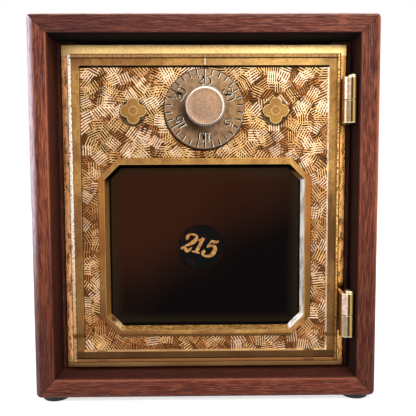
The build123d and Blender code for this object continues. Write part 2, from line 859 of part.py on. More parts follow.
# ---------------------------------------------------------------- bolt and lever
def latch_bolt():
    """The sliding bolt plate: nose, slotted body round the tube and an ear for the lever."""
    half = bolt_height / 2
    body_half = bolt_body_height / 2
    nose = block((bolt_left, 0), (bolt_front, bolt_back), (dial_z - half, dial_z + half))
    nose = chamfer(nose.edges().filter_by(Axis.Z).group_by(Axis.X)[0].sort_by(Axis.Y)[0], bolt_nose_bevel)
    bolt_y = (bolt_front, bolt_back)
    body = block((-bolt_shoulder, bolt_tail), bolt_y, (dial_z - body_half, dial_z + body_half))
    ear = block((lever_pivot_x - ear_radius, bolt_tail), bolt_y, (dial_z, lever_pivot_z))
    ear += rod(lever_pivot_x, lever_pivot_z, ear_radius, bolt_front, bolt_back)
    slot_half = tube_radius + bolt_clearance
    slot = SlotCenterToCenter(bolt_throw, 2 * slot_half)
    bolt = nose + body + ear - slab(Pos(bolt_throw / 2, dial_z) * slot, bolt_front, bolt_back)
    return bolt - rod(lever_pivot_x, lever_pivot_z, lever_stud_radius, bolt_front, bolt_back)


def lever_stud():
    """The stud on the bolt's ear that the lever turns on, with a retaining head."""
    head_front = lever_back + lever_side_gap
    spot = (lever_pivot_x, lever_pivot_z)
    stud = rod(*spot, lever_stud_radius, bolt_front, head_front)
    collar = rod(*spot, stud_collar_radius, bolt_back, lever_front - lever_side_gap)
    head = rod(*spot, stud_collar_radius, head_front, head_front + stud_head_thickness)
    return stud + collar + head


def fence_lever():
    """The lever with its hub, arm, nose over the cam and fence bar over the tumblers."""
    hub = rod(lever_pivot_x, lever_pivot_z, lever_hub_radius, lever_front, lever_back)
    fence_bottom = dial_z + tumbler_radius + fence_gap
    fence_x = (fence_offset - fence_width / 2, fence_offset + fence_width / 2)
    arm_left = lever_pivot_x - lever_arm
    arm_z = (fence_bottom, fence_bottom + lever_arm_height)
    arm = block((arm_left, lever_pivot_x), (lever_front, lever_back), arm_z)
    fence = block(fence_x, (spacer_fronts()[0], lever_front), (fence_bottom, fence_bottom + fence_height))
    nose_top = fence_bottom + lever_arm_height / 2
    nose_bottom = dial_z + cam_radius + fence_gap
    nose = block((arm_left, arm_left + lever_nose_width), (lever_front, lever_back), (nose_bottom, nose_top))
    lever = hub + arm + fence + nose
    bore = lever_stud_radius + running_clearance
    return lever - rod(lever_pivot_x, lever_pivot_z, bore, lever_front, lever_back)


def bolt_guide():
    """The strap on the lock plate that keeps the bolt's nose in line."""
    half = bolt_height / 2 + bolt_clearance
    left = -plate_left + guide_inset
    right = left + guide_width
    back = bolt_back + bolt_clearance + guide_wall
    outer = half + guide_wall
    strap = block((left, right), (plate_back, back), (dial_z - outer, dial_z + outer))
    tunnel_back = bolt_back + bolt_clearance
    tunnel = block((left, right), (plate_back, tunnel_back), (dial_z - half, dial_z + half))
    return strap - tunnel


# ---------------------------------------------------------------- all the nodes
def build_nodes():
    """Every named piece of the object."""
    shell = case_shell()
    nodes = {
        "case_top": mitred_board(shell, 0, 1),
        "case_bottom": mitred_board(shell, 0, -1),
        "case_left_side": cut_all(mitred_board(shell, -1, 0), back_screws(screw_hole)),
        "case_right_side": cut_all(mitred_board(shell, 1, 0), back_screws(screw_hole)),
        "back_panel": back_panel(),
        "back_panel_screws": gather(back_screws(screw)),
        "feet": feet(),
        "left_cleat": cleat(-1),
        "right_cleat": cleat(1),
        "door_frame": door_frame(),
        "frame_screws": gather(frame_screws(screw)),
        "upper_frame_leaf": frame_leaf(hinge_joints[0]),
        "lower_frame_leaf": frame_leaf(hinge_joints[1]),
        "frame_leaf_screws": gather(s for z in foot_plate_spots() for s in foot_plate_screws(z, screw)),
        "hinge_pins": gather(hinge_pin(joint) for joint in hinge_joints),
        "door_casting": door_casting(),
        "glass_pane": glass_pane(),
        "number_roundel": number_roundel(),
        "glass_retainer": glass_retainer(),
        "retainer_screws": gather(retainer_screws(screw)),
        "upper_door_leaf": door_leaf(hinge_joints[0]),
        "lower_door_leaf": door_leaf(hinge_joints[1]),
        "door_leaf_screws": gather(s for joint in hinge_joints for s in door_leaf_screws(joint, screw)),
        "lock_plate": lock_plate(),
        "lock_plate_screws": gather(plate_screws(screw)),
        "lock_pillars": lock_pillars(),
        "lock_bridge": lock_bridge(),
        "bridge_screws": gather(bridge_screws(screw)),
        "bolt_guide": bolt_guide(),
        "dial_tube": dial_tube(),
        "tumbler_spacers": tumbler_spacers(),
        "dial_plate": dial_plate(),
        "dial_knob": dial_knob(),
        "dial_spindle": dial_spindle(),
        "driver_cam": driver_cam(),
        "cam_nut": cam_nut(),
        "latch_bolt": latch_bolt(),
        "lever_stud": lever_stud(),
        "fence_lever": fence_lever(),
    }
    for index in range(tumbler_count):
        nodes[f"tumbler_{index + 1}"] = tumbler(index)
    return nodes


os.makedirs("parts", exist_ok=True)
for name, solid in build_nodes().items():
    export_step(solid, f"parts/{name}.step")
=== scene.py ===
"""Dresses the brass lock box door and its wooden case.

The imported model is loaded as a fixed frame. Each class below holds the sizes of one
sub-assembly in millimetres, gives the frame's own solids their finish, and models the
pieces that the frame leaves plain.
"""

from __future__ import annotations

import logging
import math
import random
from collections.abc import Callable, Iterable, Sequence
from dataclasses import dataclass, field
from enum import Enum
from functools import reduce

import bmesh
import bpy
from mathutils import Matrix, Vector

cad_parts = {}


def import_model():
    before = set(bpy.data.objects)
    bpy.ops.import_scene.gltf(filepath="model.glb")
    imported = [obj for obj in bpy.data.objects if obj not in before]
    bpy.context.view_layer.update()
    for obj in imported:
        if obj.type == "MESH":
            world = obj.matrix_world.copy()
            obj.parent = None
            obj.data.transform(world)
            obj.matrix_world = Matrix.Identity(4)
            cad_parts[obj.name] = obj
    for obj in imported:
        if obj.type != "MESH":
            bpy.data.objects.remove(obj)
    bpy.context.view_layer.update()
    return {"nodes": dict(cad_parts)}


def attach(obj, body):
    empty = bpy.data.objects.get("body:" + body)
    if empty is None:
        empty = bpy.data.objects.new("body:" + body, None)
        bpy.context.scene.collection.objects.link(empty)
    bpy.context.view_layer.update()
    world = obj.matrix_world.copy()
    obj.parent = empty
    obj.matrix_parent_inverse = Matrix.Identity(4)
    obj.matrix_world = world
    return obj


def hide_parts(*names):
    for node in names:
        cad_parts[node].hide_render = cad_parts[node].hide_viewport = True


LOG = logging.getLogger("box_door")
MM = 0.001

Object = bpy.types.Object
Material = bpy.types.Material
Node = bpy.types.Node
Outputs = bpy.types.NodeOutputs
Socket = bpy.types.NodeSocket
Tree = bpy.types.NodeTree
Inputs = dict[str | int, object]
Tone = tuple[int, int, int]
Point = tuple[float, float, float]
Stroke = tuple[Point, ...]


class Element(Enum):
    """What an edit-mode selection is made of."""

    VERT = "VERT"
    EDGE = "EDGE"
    FACE = "FACE"


class Grain(Enum):
    """The direction that a board's grain runs in, as turns about X, Y and Z in degrees."""

    ACROSS = (0.0, 0.0, 0.0)
    UPRIGHT = (0.0, 90.0, 0.0)


@dataclass(frozen=True)
class Outline:
    """A rectangle seen from the front and centred across the object, in millimetres."""

    middle: float
    half_width: float
    half_height: float
    corner: float = 0.0

    @property
    def top(self) -> float:
        """The height of its upper side."""
        return self.middle + self.half_height

    @property
    def bottom(self) -> float:
        """The height of its lower side."""
        return self.middle - self.half_height

    @property
    def reach(self) -> float:
        """How far its cut corners lie from the middle, across and up added together."""
        return self.half_width + self.half_height - self.corner


CASE = Outline(89.0, 78.4, 87.0)
DOOR = Outline(87.9, 62.8, 72.1)
FIELD = Outline(87.9, 57.6, 66.9)
WINDOW = Outline(70.35, 46.7, 39.2, corner=7.0)
DOOR_FRONT = -42.6
FIELD_FRONT = -41.6
DIAL_RISE = 134.8
ORNAMENT_ACROSS = 32.9
ORNAMENT_RISE = 134.2


def linear(tone: Tone) -> tuple[float, float, float, float]:
    """Turn a screen colour of 0 to 255 into the linear colour that a shader takes.

    Args:
        tone: Red, green and blue as they look on a screen.

    Returns:
        The linear colour with an alpha of 1.
    """
    parts = []
    for value in tone:
        share = value / 255
        parts.append(share / 12.92 if share <= 0.04045 else ((share + 0.055) / 1.055) ** 2.4)
    return (parts[0], parts[1], parts[2], 1.0)


# ------------------------------------------------------------------ modelling bench
class Bench:
    """The modelling operators that the pieces are made with, under short names."""

    @staticmethod
    def clear() -> None:
        """Leave edit mode and deselect everything."""
        if bpy.context.mode != "OBJECT":
            bpy.ops.object.mode_set(mode="OBJECT")
        bpy.ops.object.select_all(action="DESELECT")

    @staticmethod
    def only(obj: Object) -> None:
        """Select one object alone and make it active.

        Args:
            obj: The object.
        """
        Bench.clear()
        obj.select_set(True)
        bpy.context.view_layer.objects.active = obj

    @staticmethod
    def edit(obj: Object) -> None:
        """Put one object into edit mode."""
        Bench.only(obj)
        bpy.ops.object.mode_set(mode="EDIT")

    @staticmethod
    def added(name: str) -> Object:
        """Name the object that an operator has just added.

        Args:
            name: Its new name.

        Returns:
            The object.
        """
        obj = bpy.context.active_object
        obj.name = name
        obj.data.name = name
        return obj

    @staticmethod
    def pick(obj: Object, kind: Element, test: Callable[[object], bool]) -> None:
        """Select in edit mode the elements of a mesh that pass a test.

        Args:
            obj: The object to edit; it enters edit mode if it isn't there.
            kind: Whether vertices, edges or faces are selected.
            test: Takes a bmesh element and says whether it is wanted.
        """
        if bpy.context.mode != "EDIT_MESH":
            Bench.edit(obj)
        bpy.ops.mesh.select_mode(type=kind.value)
        bpy.ops.mesh.select_all(action="DESELECT")
        mesh = bmesh.from_edit_mesh(obj.data)
        source = {Element.VERT: mesh.verts, Element.EDGE: mesh.edges, Element.FACE: mesh.faces}
        for item in source[kind]:
            if test(item):
                item.select_set(True)
        mesh.select_flush_mode()
        bmesh.update_edit_mesh(obj.data)

    @staticmethod
    def settle(obj: Object) -> Object:
        """Put an object's place, turn and scale into its mesh.

        Args:
            obj: The object.

        Returns:
            The same object.
        """
        Bench.only(obj)
        bpy.ops.object.transform_apply(location=True, rotation=True, scale=True)
        return obj

    @staticmethod
    def outward(obj: Object) -> Object:
        """Merge an object's doubled vertices and turn every face outwards.

        Args:
            obj: The object.

        Returns:
            The same object.
        """
        Bench.edit(obj)
        bpy.ops.mesh.select_all(action="SELECT")
        bpy.ops.mesh.remove_doubles(threshold=1e-7)
        bpy.ops.mesh.normals_make_consistent(inside=False)
        bpy.ops.object.mode_set(mode="OBJECT")
        return obj

    @staticmethod
    def bevel(obj: Object, width: float, segments: int = 2, angle: float = 40.0) -> Object:
        """Round the sharp edges of an object with an applied bevel.

        Args:
            obj: The object to round.
            width: The bevel's width in metres.
            segments: Its number of faces across.
            angle: The least angle between faces, in degrees, that is bevelled.

        Returns:
            The same object.
        """
        Bench.only(obj)
        modifier = obj.modifiers.new("edge_round", "BEVEL")
        modifier.width = width
        modifier.segments = segments
        modifier.limit_method = "ANGLE"
        modifier.angle_limit = math.radians(angle)
        bpy.ops.object.modifier_apply(modifier=modifier.name)
        return obj

    @staticmethod
    def smooth(obj: Object, angle: float = 35.0) -> Object:
        """Shade an object smooth, but for its sharper edges.

        Args:
            obj: The object.
            angle: The angle in degrees from which an edge stays sharp.

        Returns:
            The same object.
        """
        Bench.only(obj)
        bpy.ops.object.shade_smooth_by_angle(angle=math.radians(angle))
        return obj

    @staticmethod
    def copy(master: Object, place: Matrix, name: str) -> Object:
        """Copy a piece with its own mesh, and put the place into that mesh.

        Args:
            master: The piece that is copied.
            place: Where the copy goes.
            name: Its name.

        Returns:
            The copy.
        """
        made = master.copy()
        made.data = master.data.copy()
        made.name = name
        made.data.transform(place)
        bpy.context.scene.collection.objects.link(made)
        return made

    @staticmethod
    def join(parts: Sequence[Object], name: str) -> Object:
        """Join several objects into one.

        Args:
            parts: The objects.
            name: The joined object's name.

        Returns:
            The joined object.
        """
        Bench.clear()
        for part in parts:
            part.select_set(True)
        bpy.context.view_layer.objects.active = parts[0]
        bpy.ops.object.join()
        return Bench.added(name)

    @staticmethod
    def discard(obj: Object) -> None:
        """Delete a master whose copies are made."""
        bpy.data.objects.remove(obj, do_unlink=True)


# ------------------------------------------------------------------ shader building
class Graph:
    """Adds and links the nodes of one shader tree."""

    def __init__(self, tree: Tree) -> None:
        """Work on the given tree."""
        self.tree = tree

    def node(self, kind: str, inputs: Inputs | None = None, **settings: object) -> Node:
        """Add a node.

        Args:
            kind: The node's type.
            inputs: What its inputs are fed with, by name or number.
            settings: What is set on the node itself.

        Returns:
            The new node.
        """
        made = self.tree.nodes.new(kind)
        for name, value in settings.items():
            setattr(made, name, value)
        self.fill(made, inputs or {})
        return made

    def fill(self, node: Node, inputs: Inputs) -> None:
        """Feed several of a node's inputs, by name or number."""
        for name, value in inputs.items():
            self.feed(node.inputs[name], value)

    def feed(self, socket: Socket, value: object) -> None:
        """Link a socket to another, or set its own value.

        Args:
            socket: The input.
            value: An output socket, or a plain value.
        """
        if isinstance(value, bpy.types.NodeSocket):
            self.tree.links.new(value, socket)
        else:
            socket.default_value = value

    def mapped(self, vector: Socket, shift: Point = (0, 0, 0), turn: Point = (0, 0, 0),
               scale: Point = (1, 1, 1)) -> Socket:
        """Move, turn and scale a vector.

        Args:
            vector: The vector.
            shift: How far it is moved, in metres.
            turn: How far it is turned about each axis, in degrees.
            scale: What it is multiplied by.

        Returns:
            The new vector.
        """
        angles = [math.radians(angle) for angle in turn]
        made = self.node("ShaderNodeMapping", {"Vector": vector, "Location": shift, "Rotation": angles,
                                               "Scale": scale})
        return made.outputs["Vector"]

    def axes(self, vector: Socket) -> tuple[Socket, Socket, Socket]:
        """Split a vector into its X, Y and Z."""
        made = self.node("ShaderNodeSeparateXYZ", {"Vector": vector}).outputs
        return made["X"], made["Y"], made["Z"]

    def math(self, operation: str, first: object, second: object = 0.0,
             clamp: bool = False) -> Socket:
        """One step of arithmetic on two values."""
        made = self.node("ShaderNodeMath", {0: first, 1: second}, operation=operation, use_clamp=clamp)
        return made.outputs["Value"]

    def plus(self, first: object, second: object, clamp: bool = False) -> Socket:
        """Add two values."""
        return self.math("ADD", first, second, clamp)

    def minus(self, first: object, second: object, clamp: bool = False) -> Socket:
        """Take the second value from the first."""
        return self.math("SUBTRACT", first, second, clamp)

    def times(self, *values: object) -> Socket:
        """Multiply values together."""
        return reduce(lambda first, second: self.math("MULTIPLY", first, second), values)

    def most(self, *values: object) -> Socket:
        """The largest of the values."""
        return reduce(lambda first, second: self.math("MAXIMUM", first, second), values)

    def size(self, value: object) -> Socket:
        """A value without its sign."""
        return self.math("ABSOLUTE", value)

    def ease(self, value: object, low: float, high: float, start: float = 0.0,
             end: float = 1.0) -> Socket:
        """Map a value on a smooth step.

        Args:
            value: The value.
            low: Where the step starts.
            high: Where it ends, which may be below its start.
            start: What comes out at low.
            end: What comes out at high.

        Returns:
            The mapped value.
        """
        made = self.node("ShaderNodeMapRange", {"Value": value, "From Min": low, "From Max": high,
                                                "To Min": start, "To Max": end},
                         interpolation_type="SMOOTHSTEP", clamp=True)
        return made.outputs["Result"]

    def fade(self, length: object, low: float, high: float, start: float = 0.0,
             end: float = 1.0) -> Socket:
        """Ease a length, with low and high in millimetres."""
        return self.ease(length, low * MM, high * MM, start, end)

    def blend(self, factor: object, first: object, second: object) -> Socket:
        """Blend two colours.

        Args:
            factor: How much of the second is taken.
            first: A tone of 0 to 255, or a colour socket.
            second: The same.

        Returns:
            The blended colour.
        """
        below, above = (linear(value) if isinstance(value, tuple) else value for value in (first, second))
        return self.node("ShaderNodeMix", {0: factor, 6: below, 7: above}, data_type="RGBA").outputs[2]

    def noise(self, vector: Socket, size: float, detail: float = 3.0,
              roughness: float = 0.55) -> Socket:
        """Add fractal noise.

        Args:
            vector: Where it is read.
            size: About how wide its largest patches are, in millimetres.
            detail: How many finer layers it has.
            roughness: How strong they are.

        Returns:
            The noise, from 0 to 1.
        """
        made = self.node("ShaderNodeTexNoise", {"Vector": vector, "Scale": 1 / (size * MM),
                                                "Detail": detail, "Roughness": roughness})
        return made.outputs["Fac"]

    def group(self, tree: Tree, **values: object) -> Outputs:
        """Place a shared group.

        Args:
            tree: The group.
            values: Its inputs, with underscores for spaces.

        Returns:
            Its outputs.
        """
        made = self.node("ShaderNodeGroup", node_tree=tree)
        self.fill(made, {name.replace("_", " "): value for name, value in values.items()})
        return made.outputs

    def bump(self, height: Socket, depth: float) -> Socket:
        """A bump whose full height is depth millimetres."""
        return self.node("ShaderNodeBump", {"Distance": depth * MM, "Height": height}).outputs["Normal"]


class SharedGroups:
    """The node groups that several finishes use, each built once."""

    def __init__(self) -> None:
        """Build every shared group."""
        self.patina = self._patina()
        self.relief = self._relief()
        self.outline = self._outline()
        self.turned = self._turned()
        self.wood = self._wood()

    @staticmethod
    def _begin(name: str, inputs: Iterable[tuple[str, str, object]],
               outputs: Iterable[str]) -> tuple[Graph, Outputs, Node]:
        """Start a group with its named sockets.

        Args:
            name: The group's name.
            inputs: Each input's name, socket type and default value, or None.
            outputs: The names of its value outputs.

        Returns:
            A graph to add nodes with, the group's given values and its output node.
        """
        tree = bpy.data.node_groups.new(name, "ShaderNodeTree")
        for title, kind, value in inputs:
            socket = tree.interface.new_socket(title, in_out="INPUT", socket_type=kind)
            if value is not None:
                socket.default_value = value
        for title in outputs:
            tree.interface.new_socket(title, in_out="OUTPUT", socket_type="NodeSocketFloat")
        graph = Graph(tree)
        return graph, graph.node("NodeGroupInput").outputs, graph.node("NodeGroupOutput")

    def _patina(self) -> Tree:
        """Blotches, small dark specks and a fine cast skin, at sizes set in millimetres.

        Returns:
            The group.
        """
        graph, given, result = self._begin(
            "patina",
            [("Vector", "NodeSocketVector", None), ("Stretch", "NodeSocketVector", (1, 1, 1))],
            ["Blotch", "Speck", "Skin"],
        )
        stretched = graph.node("ShaderNodeVectorMath", {0: given["Vector"], 1: given["Stretch"]},
                               operation="MULTIPLY")
        vector = stretched.outputs["Vector"]
        graph.fill(result, {"Blotch": graph.ease(graph.noise(vector, 22.0, 4.0, 0.62), 0.36, 0.66),
                            "Speck": graph.ease(graph.noise(vector, 1.3, 3.0, 0.65), 0.60, 0.74),
                            "Skin": graph.noise(vector, 0.45, 2.0, 0.6)})
        return graph.tree

    def _relief(self) -> Tree:
        """Masks of a piece's own raised edges and its own corners: edges for wear and painted highlights,
        corners for soiling and painted shade.

        Returns:
            The group.
        """
        graph, given, result = self._begin(
            "edges_and_corners",
            [("Edge Radius", "NodeSocketFloat", 0.4 * MM), ("Corner Reach", "NodeSocketFloat", 1.5 * MM)],
            ["Edge", "Corner"],
        )
        rounded = graph.node("ShaderNodeBevel", {"Radius": given["Edge Radius"]}, samples=4)
        plain = graph.node("ShaderNodeNewGeometry")
        normals = {0: rounded.outputs["Normal"], 1: plain.outputs["Normal"]}
        facing = graph.node("ShaderNodeVectorMath", normals, operation="DOT_PRODUCT")
        bent = graph.minus(1.0, facing.outputs["Value"])
        # Ambient occlusion: the corner mask is painted shade in hollows as well as soiling.
        open_sky = graph.node("ShaderNodeAmbientOcclusion", {"Distance": given["Corner Reach"]}, samples=6,
                              only_local=True)
        corner = graph.ease(graph.minus(1.0, open_sky.outputs["AO"]), 0.12, 0.62)
        edge = graph.minus(graph.ease(bent, 0.01, 0.12), corner, clamp=True)
        graph.fill(result, {"Edge": edge, "Corner": corner})
        return graph.tree

    def _outline(self) -> Tree:
        """How far a point lies outside a rectangle in X and Z: negative within it.

        Returns:
            The group.
        """
        graph, given, result = self._begin(
            "rectangle_distance",
            [("Vector", "NodeSocketVector", None), ("Middle Z", "NodeSocketFloat", 0.0),
             ("Half X", "NodeSocketFloat", 0.05), ("Half Z", "NodeSocketFloat", 0.05)],
            ["Distance", "Side", "Rise"],
        )
        x, _, z = graph.axes(given["Vector"])
        rise = graph.minus(z, given["Middle Z"])
        side_gap = graph.minus(graph.size(x), given["Half X"])
        rise_gap = graph.minus(graph.size(rise), given["Half Z"])
        graph.fill(result, {"Distance": graph.most(side_gap, rise_gap), "Side": side_gap, "Rise": rise_gap})
        return graph.tree

    def _turned(self) -> Tree:
        """The radius from an axis along Y, and the fine rings that a lathe leaves.

        Returns:
            The group.
        """
        graph, given, result = self._begin(
            "turned_rings",
            [("Vector", "NodeSocketVector", None), ("Middle X", "NodeSocketFloat", 0.0),
             ("Middle Z", "NodeSocketFloat", 0.0)],
            ["Radius", "Rings"],
        )
        x, _, z = graph.axes(given["Vector"])
        across = graph.minus(x, given["Middle X"])
        rise = graph.minus(z, given["Middle Z"])
        radius = graph.math("SQRT", graph.plus(graph.times(across, across), graph.times(rise, rise)))
        turn = graph.times(graph.math("ARCTAN2", across, rise), 0.6 * MM)
        spread = graph.node("ShaderNodeCombineXYZ", {"X": radius, "Y": turn})
        rings = graph.noise(spread.outputs["Vector"], 0.35, 2.0, 0.6)
        graph.fill(result, {"Radius": radius, "Rings": rings})
        return graph.tree

    def _wood(self) -> Tree:
        """Streaks, pores and broad figure of a board whose grain runs along X.

        Returns:
            The group.
        """
        graph, given, result = self._begin(
            "board_grain", [("Vector", "NodeSocketVector", None)], ["Streak", "Pore", "Figure"])
        vector = given["Vector"]
        drift = graph.node("ShaderNodeTexNoise", {"Vector": graph.mapped(vector, scale=(0.25, 1, 1)),
                                                  "Scale": 45.0})
        wander = graph.node("ShaderNodeVectorMath", {0: drift.outputs["Color"],
                                                     1: (0, 1.6 * MM, 1.6 * MM), 2: vector},
                            operation="MULTIPLY_ADD")
        bent = wander.outputs["Vector"]
        streak = graph.noise(graph.mapped(bent, scale=(0.035, 1, 1)), 1.1, 3.0, 0.62)
        pore = graph.noise(graph.mapped(bent, scale=(0.09, 1, 1)), 0.38, 2.0, 0.65)
        figure = graph.noise(graph.mapped(bent, scale=(0.09, 1, 1)), 9.0, 2.0, 0.5)
        graph.fill(result, {"Streak": graph.ease(streak, 0.42, 0.60), "Pore": graph.ease(pore, 0.52, 0.66),
                            "Figure": graph.ease(figure, 0.34, 0.68)})
        return graph.tree


def empty_material(name: str) -> tuple[Material, Graph, Node]:
    """Make a node material that holds only its output.

    Args:
        name: The material's name.

    Returns:
        The material, a graph to add nodes with, and the output node.
    """
    material = bpy.data.materials.new(name)
    material.use_nodes = True
    material.node_tree.nodes.clear()
    graph = Graph(material.node_tree)
    return material, graph, graph.node("ShaderNodeOutputMaterial")


class FinishGraph(Graph):
    """The shader tree of one finish, with its shader, its coordinates and the shared groups."""

    def __init__(self, name: str, groups: SharedGroups) -> None:
        """Make the material and link up its Principled shader.

        Args:
            name: The material's name.
            groups: The shared node groups.
        """
        self.material, graph, output = empty_material(name)
        super().__init__(graph.tree)
        self.groups = groups
        self.shader = self.node("ShaderNodeBsdfPrincipled")
        self.feed(output.inputs["Surface"], self.shader.outputs["BSDF"])
        self.vector = self.node("ShaderNodeTexCoord").outputs["Object"]
        self.across, self.depth, self.rise = self.axes(self.vector)
        self.colour: Socket | None = None

    def paint(self, mask: Socket, tone: object, share: float = 1.0) -> None:
        """Lay a tone or another colour over the colour so far, where a mask is set.

        Args:
            mask: Where it is laid, from 0 to 1.
            tone: A tone of 0 to 255, or a colour socket.
            share: How much of the mask is used.
        """
        factor = mask if share == 1.0 else self.times(mask, share)
        self.colour = self.blend(factor, self.colour, tone)

    def patina(self, stretch: Point = (1, 1, 1)) -> Outputs:
        """Place the patina group."""
        return self.group(self.groups.patina, Vector=self.vector, Stretch=stretch)

    def relief(self, edge: float = 0.4, corner: float = 1.5) -> Outputs:
        """Place the edges and corners group, with its reaches in millimetres."""
        return self.group(self.groups.relief, Edge_Radius=edge * MM, Corner_Reach=corner * MM)

    def outline(self, shape: Outline) -> Outputs:
        """Place the rectangle group for one of the object's outlines."""
        return self.group(self.groups.outline, Vector=self.vector, Middle_Z=shape.middle * MM,
                          Half_X=shape.half_width * MM, Half_Z=shape.half_height * MM)

    def turned(self, x: float, z: float, vector: Socket | None = None) -> Outputs:
        """Place the turned group round an axis at X and Z in millimetres."""
        return self.group(self.groups.turned, Vector=self.vector if vector is None else vector,
                          Middle_X=x * MM, Middle_Z=z * MM)

    def mirrored(self, shift: float = 0.0) -> Socket:
        """The coordinates with their left half laid over the right.

        Args:
            shift: How far they are moved to the right first, in millimetres.

        Returns:
            The folded vector.
        """
        across = self.size(self.plus(self.across, shift * MM))
        return self.node("ShaderNodeCombineXYZ", {"X": across, "Z": self.rise}).outputs["Vector"]

    def attribute(self, name: str) -> Socket:
        """A value that the mesh carries."""
        return self.node("ShaderNodeAttribute", attribute_name=name).outputs["Fac"]

    def metal(self, rough: Socket, height: Socket, depth: float = 0.03) -> None:
        """Finish the shader as bare metal, its bump depth millimetres high."""
        self.surface(rough, height, depth)
        self.fill(self.shader, {"Metallic": 1.0})

    def surface(self, rough: Socket, height: Socket, depth: float) -> None:
        """Feed the shader the colour so far, its roughness and its bump.

        Args:
            rough: The roughness.
            height: The bump's height, from 0 to 1.
            depth: What a height of 1 stands for, in millimetres.
        """
        self.fill(self.shader, {"Base Color": self.colour, "Roughness": rough,
                                "Normal": self.bump(height, depth)})


# ------------------------------------------------------------------ finishes
@dataclass(frozen=True)
class Finish:
    """A named finish that can be built as a material."""

    name: str

    def shade(self, graph: FinishGraph) -> None:
        """Build the finish in its graph; each finish has its own.

        Args:
            graph: The finish's graph.
        """
        raise NotImplementedError(self.name)

    def material(self, groups: SharedGroups) -> Material:
        """Build the finish as a material.

        Args:
            groups: The shared node groups.

        Returns:
            The new material.
        """
        graph = FinishGraph(self.name, groups)
        self.shade(graph)
        return graph.material


@dataclass(frozen=True)
class CastBrass(Finish):
    """Old cast brass: coppery in blotches, its edges rubbed golden with painted highlights, soiled and with
    painted shade in its corners, and with painted shade towards its left and bottom.
    """

    gold: Tone = (208, 160, 88)
    copper: Tone = (120, 78, 44)
    grime_and_shade: Tone = (26, 15, 8)
    rubbed: Tone = (252, 222, 158)
    copper_share: float = 0.6
    mottle_share: float = 0.45
    grain_share: float = 0.6
    speck_share: float = 0.75
    rubbed_share: float = 0.8
    corner_share: float = 0.96
    corner_reach: float = 1.6
    edge_radius: float = 0.3
    roughness: float = 0.34

    def base(self, graph: FinishGraph) -> tuple[Socket, Socket]:
        """Lay the colour that every brass casting shares.

        Args:
            graph: The finish's graph.

        Returns:
            Its roughness and its bump height.
        """
        patina = graph.patina()
        relief = graph.relief(self.edge_radius, self.corner_reach)
        # Painted shade: the brass turns coppery towards the left and the bottom, on top of its coppery
        # blotches.
        side = graph.fade(graph.across, 62.0, -70.0)
        low = graph.fade(graph.rise, 150.0, 20.0)
        lean = graph.plus(graph.times(side, 0.6), graph.times(low, 0.35))
        tarnish_and_shade = graph.times(patina["Blotch"], self.copper_share)
        tarnish_and_shade = graph.plus(tarnish_and_shade, graph.times(lean, 0.6), clamp=True)
        graph.colour = graph.blend(tarnish_and_shade, self.gold, self.copper)
        mottle = graph.ease(graph.noise(graph.vector, 3.2, 3.0, 0.6), 0.50, 0.66)
        graph.paint(mottle, self.copper, self.mottle_share)
        grain = graph.ease(patina["Skin"], 0.46, 0.62)
        graph.paint(grain, self.copper, self.grain_share)
        graph.paint(patina["Speck"], self.grime_and_shade, self.speck_share)
        # Rubbed edges, worn and with a painted highlight.
        graph.paint(relief["Edge"], self.rubbed, self.rubbed_share)
        # Painted shade in the casting's corners, with its soiling.
        graph.paint(relief["Corner"], self.grime_and_shade, self.corner_share)
        rough = graph.plus(graph.times(tarnish_and_shade, 0.14), graph.times(relief["Corner"], 0.3))
        return graph.plus(rough, self.roughness), patina["Skin"]

    def shade(self, graph: FinishGraph) -> None:
        """Build the plain cast finish.

        Args:
            graph: The finish's graph.
        """
        graph.metal(*self.base(graph))


